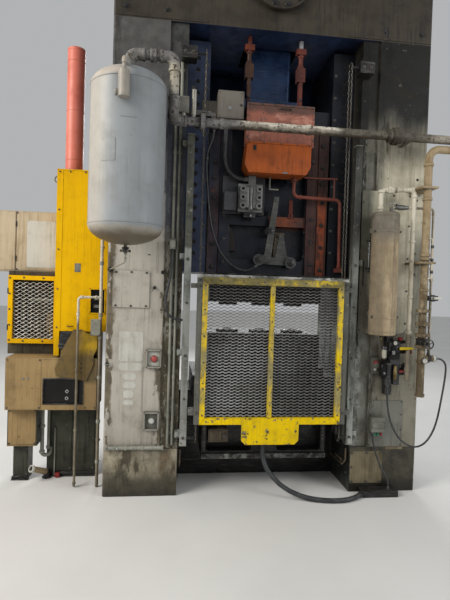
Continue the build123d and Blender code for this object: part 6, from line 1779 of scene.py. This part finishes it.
    # console: window, frame, two ring knobs, screws, lids
    b.use("black_glass").box(P(-2401, -327, 903), P(-1991, -324.5, 1169), 0.001)
    b.use("bolt_dark")
    for x0, x1, z0, z1 in ((-2413, -2401, 891, 1181), (-1991, -1979, 891, 1181), (-2401, -1991, 1169, 1181), (-2401, -1991, 891, 903)):
        b.box(P(x0, -354, z0), P(x1, -325, z1), 0.002)
    b.use("lens_white")
    for x, z in ((-2158, 1033), (-2160, 957)):
        b.ring(P(x, -331, z), (0, 1, 0), 0.014, 0.0045, 26, 8)
    b.use("bolt_dark")
    for x, z in ((-2158, 1033), (-2160, 957)):
        b.lathe(P(x, -327, z), (0, -1, 0), [(0.011, 0), (0.009, 0.010), (0, 0.012)], 16)
    b.use("beige")
    b.box(P(-2790, -354, 844), P(-2430, -349.5, 1390), 0.003)
    b.box(P(-2800, -353, 1382), P(-1845, -349.5, 1400), 0.002)
    b.use("galv")
    screws(b, [(-2615, -354, 1175), (-2567, -354, 1176)], (0, -1, 0), 9)
    b.use("bolt")
    screws(b, [(x, -354, z) for x in (-2778, -2444) for z in (858, 1376)], (0, -1, 0), 7)
    screws(b, [(x, -350, z) for x in (-1958, -1862) for z in (858, 1180)], (0, -1, 0), 7)
    b.use("bolt_dark")
    for x in (-2010,):
        for z in (1240, 1292, 1344):
            b.lathe(P(x, -350, z), (0, -1, 0), [(0.012, 0), (0.012, 0.004), (0.009, 0.008), (0, 0.009)], 16)
    b.done("console_fittings", slot="beige_paint")

    b = Build().use("bolt")
    screws(b, [(x, -95, z) for x in (-2850, -2344) for z in (1560, 1730, 1905, 2080, 2255)], (0, -1, 0), 8)
    screws(b, [(x, -95, z) for x in (-2700, -2490) for z in (1550, 2262)], (0, -1, 0), 8)
    b.use("bolt_dark")
    for z in (1700, 2110):
        collar(b, (-2868, -90, z - 32), (0, 0, 1), 9, 64, 12)
    b.done("guard_screws", slot="yellow_paint")

    b = Build()
    # bases: doors and seams, floor angles, drain pipes under the console
    b.use("pedestal")
    b.box(P(-2412, -65, 60), P(-2145, -59.5, 800), 0.003)
    b.box(P(-2137, -65, 60), P(-1890, -59.5, 800), 0.003)
    b.use("beige")
    b.box(P(-2790, -255, 425), P(-2496, -249.5, 815), 0.003)
    b.box(P(-2800, -253, 409), P(-2486, -248, 420), 0.001)
    b.use("bolt")
    screws(b, [(x, -65, z) for x in (-2398, -2160, -2122, -1904) for z in (90, 430, 770)], (0, -1, 0), 8)
    screws(b, [(x, -255, z) for x in (-2778, -2508) for z in (440, 800)], (0, -1, 0), 8)
    screws(b, [(x, -150, z) for x in (-2745, -2615) for z in (60, 350)], (0, -1, 0), 9)
    b.use("dark_iron")
    b.box(P(-2422, -92, 0), P(-1878, -60, 10), 0.002)
    b.box(P(-2422, -68, 0), P(-1878, -60, 44), 0.002)
    b.box(P(-2774, -180, 0), P(-2586, -150, 10), 0.002)
    b.box(P(-2774, -158, 0), P(-2586, -150, 40), 0.002)
    b.use("galv")
    b.tube(arc_path([P(-2452, -150, 834), P(-2452, -150, 268), P(-2375, -110, 268), P(-2375, -64, 330)], 0.04), 0.021, 14)
    b.tube([P(-2398, -90, 834), P(-2398, -90, 340)], 0.016, 12)
    hexnut(b, (-2398, -90, 360), (0, 0, -1), 25, 34)
    for z in (620, 330):
        collar(b, (-2452, -150, z), (0, 0, -1), 30, 34)
    b.tube([P(-2330, -74, 12), P(-2330, -74, 560)], 0.009, 10)
    # open drain stub with a pale rim
    b.use("riser")
    a0, a1 = P(-2406, -100, 62), P(-2536, -238, 150)
    d = (a1 - a0).normalized()
    b.lathe(a0, d, [(0.033, 0), (0.033, (a1 - a0).length - 0.02), (0.039, (a1 - a0).length - 0.018)], 26)
    b.use("white")
    k = (a1 - a0).length - 0.018
    b.lathe(a0 + d * k, d, [(0.039, 0), (0.041, 0.004), (0.041, 0.026), (0.038, 0.030), (0.028, 0.030), (0.0275, 0.004), (0, 0.003)], 28)
    b.use("black_glass")
    b.lathe(a0 + d * (k + 0.0035), d, [(0.0272, 0), (0.0272, 0.0025), (0, 0.0028)], 26)
    b.use("dark_iron")
    b.lathe(P(-2406, -100, 0), (0, 0, 1), [(0.052, 0), (0.052, 0.012), (0.037, 0.016), (0.037, 0.070), (0.030, 0.088), (0, 0.094)], 24)
    b.use("knob_red")
    b.box(P(-2312, -128, 2), P(-2262, -80, 52), 0.006, 2)
    b.use("tan")
    b.box(P(-2480, 40, 1622), P(-2394, 160, 1850), 0.004)
    b.box(P(-2492, 60, 1850), P(-2400, 165, 1856), 0.002)
    b.use("galv")
    b.box(P(-2700, 90, 1990), P(-2420, 165, 2030), 0.004)
    b.tube([P(-2760, 110, 1625), P(-2760, 110, 2230)], 0.014, 12)
    b.use("body_dark")
    b.box(P(-2790, 120, 1622), P(-2500, 168, 1760), 0.006)
    b.done("base_doors_and_drains", slot="beige_paint")

    b = Build()
    # conduit couplings, junction box lid and the capped stub
    b.use("galv")
    for z in (260, 700, 1180, 1620, 1860, 2420, 2900, 3270):
        collar(b, (-1812, -390, z), (0, 0, 1), 23, 40, 18)
    b.box(P(-1905, -437, 1662), P(-1805, -432.5, 1832), 0.003)
    b.use("bolt")
    screws(b, [(x, -437, z) for x in (-1896, -1814) for z in (1672, 1822)], (0, -1, 0), 4.5, False)
    b.use("recv_pipes")
    collar(b, (-1850, -390, 2071), (-1, 0, 0), 19, 26, 16)
    collar(b, (-2000, -390, 2069), (-1, 0, 0), 19, 26, 16)
    for z in (1900, 1300, 640, 60):
        collar(b, (-2048 - (2068 - z) * 0.00194, -390, z), (0, 0, -1), 19, 30, 16)
    b.use("galv")
    for z in (500, 1080, 2600, 3120):
        b.box(P(-1836, -372, z), P(-1788, -366, z + 26), 0.002)
    b.done("feeder_pipe_fittings", slot="galvanised")


def top_and_back_trim():
    b = Build().use("bolt_dark")
    # bearing boss and its ring of bolts
    for k in range(12):
        a = math.radians(15 + 30 * k)
        b.bolt(P(282 * math.cos(a), -710, 5480 + 282 * math.sin(a)), (0, -1, 0), 0.024)
    b.use("crown")
    b.ring(P(0, -710, 5480), (0, 1, 0), 0.318, 0.010, 64, 8)
    b.lathe(P(0, -709, 5480), (0, -1, 0), [(0.200, 0), (0.200, 0.012), (0.190, 0.018), (0.060, 0.018), (0.052, 0.010), (0, 0.010)], 48)
    b.use("bolt_dark")
    for x in (-1600, -1180, 1180, 1600):
        for z in (5060, 5500, 5900):
            b.bolt(P(x, -649, z), (0, -1, 0), 0.020)
    b.use("crown")
    b.box(P(-1700, -656, 4966), P(-760, -649, 4990), 0.002)
    b.box(P(760, -656, 4966), P(1700, -649, 4990), 0.002)
    b.done("crown_bolts", slot="dark_iron")

    b = Build().use("crown")
    for x in (-1000, 1000):
        b.use("dark_iron")
        collar(b, (x, -420, 6000), (0, 0, 1), 42, 22, 24)
        b.ring(P(x, -420, 6062), (1, 0, 0), 0.036, 0.011, 28, 10)
        collar(b, (x, 420, 6000), (0, 0, 1), 42, 22, 24)
        b.ring(P(x, 420, 6062), (1, 0, 0), 0.036, 0.011, 28, 10)
    b.done("crown_eyes", slot="dark_iron")

    b = Build().use("motor")
    # fins, end shield, eye and cable box lid
    cx, cz = 760, 6290
    for k in range(28):
        a = math.radians(k * 360 / 28)
        if -0.95 > math.sin(a) or (math.cos(a) > 0.88):
            continue
        ca, sa = math.cos(a), math.sin(a)
        p = Vector((cx + 206 * ca, 60, cz + 206 * sa))
        q = Vector((cx + 228 * ca, 60, cz + 228 * sa))
        n = Vector((-sa, 0, ca)) * 3.0
        v = []
        for yy in (20, 560):
            for w in (p - n, p + n, q + n * 0.6, q - n * 0.6):
                v.append(b.bm.verts.new(Vector((w.x, yy, w.z)) / 1000.0))
        f = [b.bm.faces.new((v[3], v[2], v[1], v[0])), b.bm.faces.new((v[4], v[5], v[6], v[7]))]
        for i in range(4):
            f.append(b.bm.faces.new((v[i], v[(i + 1) % 4], v[4 + (i + 1) % 4], v[4 + i])))
        b._mark(f)
    b.lathe(P(cx, -50, cz), (0, -1, 0), [(0.212, -0.02), (0.216, 0.0), (0.216, 0.004), (0.190, 0.010), (0.070, 0.012), (0.060, 0.020), (0, 0.022)], 40)
    b.use("bolt_dark")
    for k in range(4):
        a = math.radians(45 + 90 * k)
        b.bolt(P(cx + 175 * math.cos(a), -62, cz + 175 * math.sin(a)), (0, -1, 0), 0.011)
    b.done("motor_fins", slot="dark_iron")

    b = Build().use("guard_dark")
    # seam, ribs and screws of the flywheel guard, on its back face
    for y, s in ((990, 1), (650, -1)):
        for k in range(26):
            a = math.radians(180 + k * 7.2) if True else 0
            x, z = 790 * math.cos(a), 5250 + 790 * math.sin(a)
            if s > 0:
                b.use("bolt").bolt(P(x, y, z), (0, s, 0), 0.010)
    b.use("guard_dark")
    b.ring(P(0, 988, 5250), (0, 1, 0), 0.40, 0.008, 64, 8)
    b.ring(P(0, 988, 5250), (0, 1, 0), 0.70, 0.006, 80, 8)
    for k in range(8):
        a = math.radians(45 * k + 22.5)
        b.tube([P(410 * math.cos(a), 989, 5250 + 410 * math.sin(a)), P(690 * math.cos(a), 989, 5250 + 690 * math.sin(a))], 0.006, 6)
    b.done("guard_ribs", slot="grey_box")

    # covers and bolts of the back
    b = Build()
    for s in (-1, 1):
        b.use("press_left" if s < 0 else "press_right")
        b.box(P(s * 1435 - 210, 649.5, 1700), P(s * 1435 + 210, 656, 2900), 0.002)
        b.use("bolt")
        for x in (-185, 0, 185):
            for z in (1725, 2875):
                b.bolt(P(s * 1435 + x, 656, z), (0, 1, 0), 0.010)
        for x in (-185, 185):
            for z in (2110, 2490):
                b.bolt(P(s * 1435 + x, 656, z), (0, 1, 0), 0.010)
    b.done("back_covers", slot="press_paint")
    # side covers
    b = Build()
    for s in (-1, 1):
        b.use("press_left" if s < 0 else "press_right")
        b.box(P(s * 1720 - (3 if s > 0 else 6), -300, 1500), P(s * 1720 + (6 if s > 0 else 3), 300, 2400), 0.002)
        b.box(P(s * 1720 - (3 if s > 0 else 6), -300, 3100), P(s * 1720 + (6 if s > 0 else 3), 300, 3900), 0.002)
        b.use("bolt")
        for y in (-275, 0, 275):
            for z in (1525, 2375, 3125, 3875):
                b.bolt(P(s * 1726, y, z), (s, 0, 0), 0.010)
        for y in (-275, 275):
            for z in (1950, 3500):
                b.bolt(P(s * 1726, y, z), (s, 0, 0), 0.010)
    b.done("side_covers", slot="press_paint")


tank_trim()
left_trim()
bay_trim()
header_trim()
gib_trim()
slide_trim()
gate_trim()
post_trim()
bed_trim()
right_trim()
receiver_trim()
air_unit_trim()
riser_trim()
feeder_trim()
top_and_back_trim()


# ------------------------------------------------------------------ lights, floor and backdrop
def stage():
    TONE[0] = 1.0
    t = Mat("floor_studio", 0.3)
    f = t.noise(0.8, 4, 0.6)
    col = t.mix(t.rng(f, 0.3, 0.7), (214, 213, 210), (206, 205, 202))
    m = t.end(col, 0.75, None, t.bump(t.noise(40, 5, 0.6), 0.05, 0.001))
    me = bpy.data.meshes.new("studio_floor")
    s = 40.0
    me.from_pydata([(-s, -s, -0.002), (s, -s, -0.002), (s, s, -0.002), (-s, s, -0.002)], [], [(0, 1, 2, 3)])
    me.materials.append(m)
    o = bpy.data.objects.new("studio_floor", me)
    SCENE.collection.objects.link(o)
    world = bpy.data.worlds.new("studio")
    world.use_nodes = True
    bg = world.node_tree.nodes["Background"]
    bg.inputs["Color"].default_value = (0.78, 0.80, 0.82, 1)
    bg.inputs["Strength"].default_value = 0.56
    SCENE.world = world

    def area(name, loc, target, size, power, color=(1, 1, 1)):
        d = bpy.data.lights.new(name, "AREA")
        d.shape = "RECTANGLE"
        d.size, d.size_y = size
        d.energy = power
        d.color = color
        ob = bpy.data.objects.new(name, d)
        SCENE.collection.objects.link(ob)
        ob.location = loc
        ob.rotation_euler = (Vector(target) - Vector(loc)).to_track_quat("-Z", "Y").to_euler()

    area("key_light", (-8.5, -4.6, 6.6), (-0.8, -0.4, 2.2), (5, 4), 900, (1.0, 0.96, 0.90))
    area("fill_light", (6.5, -5.5, 4.5), (0.8, 0, 2.2), (4, 5), 290, (0.97, 0.99, 1.0))
    area("back_light", (1.0, 8.0, 7.0), (0, 0, 3.0), (6, 4), 500)
    SCENE.view_settings.view_transform = "Standard"
    SCENE.view_settings.look = "None"


stage()
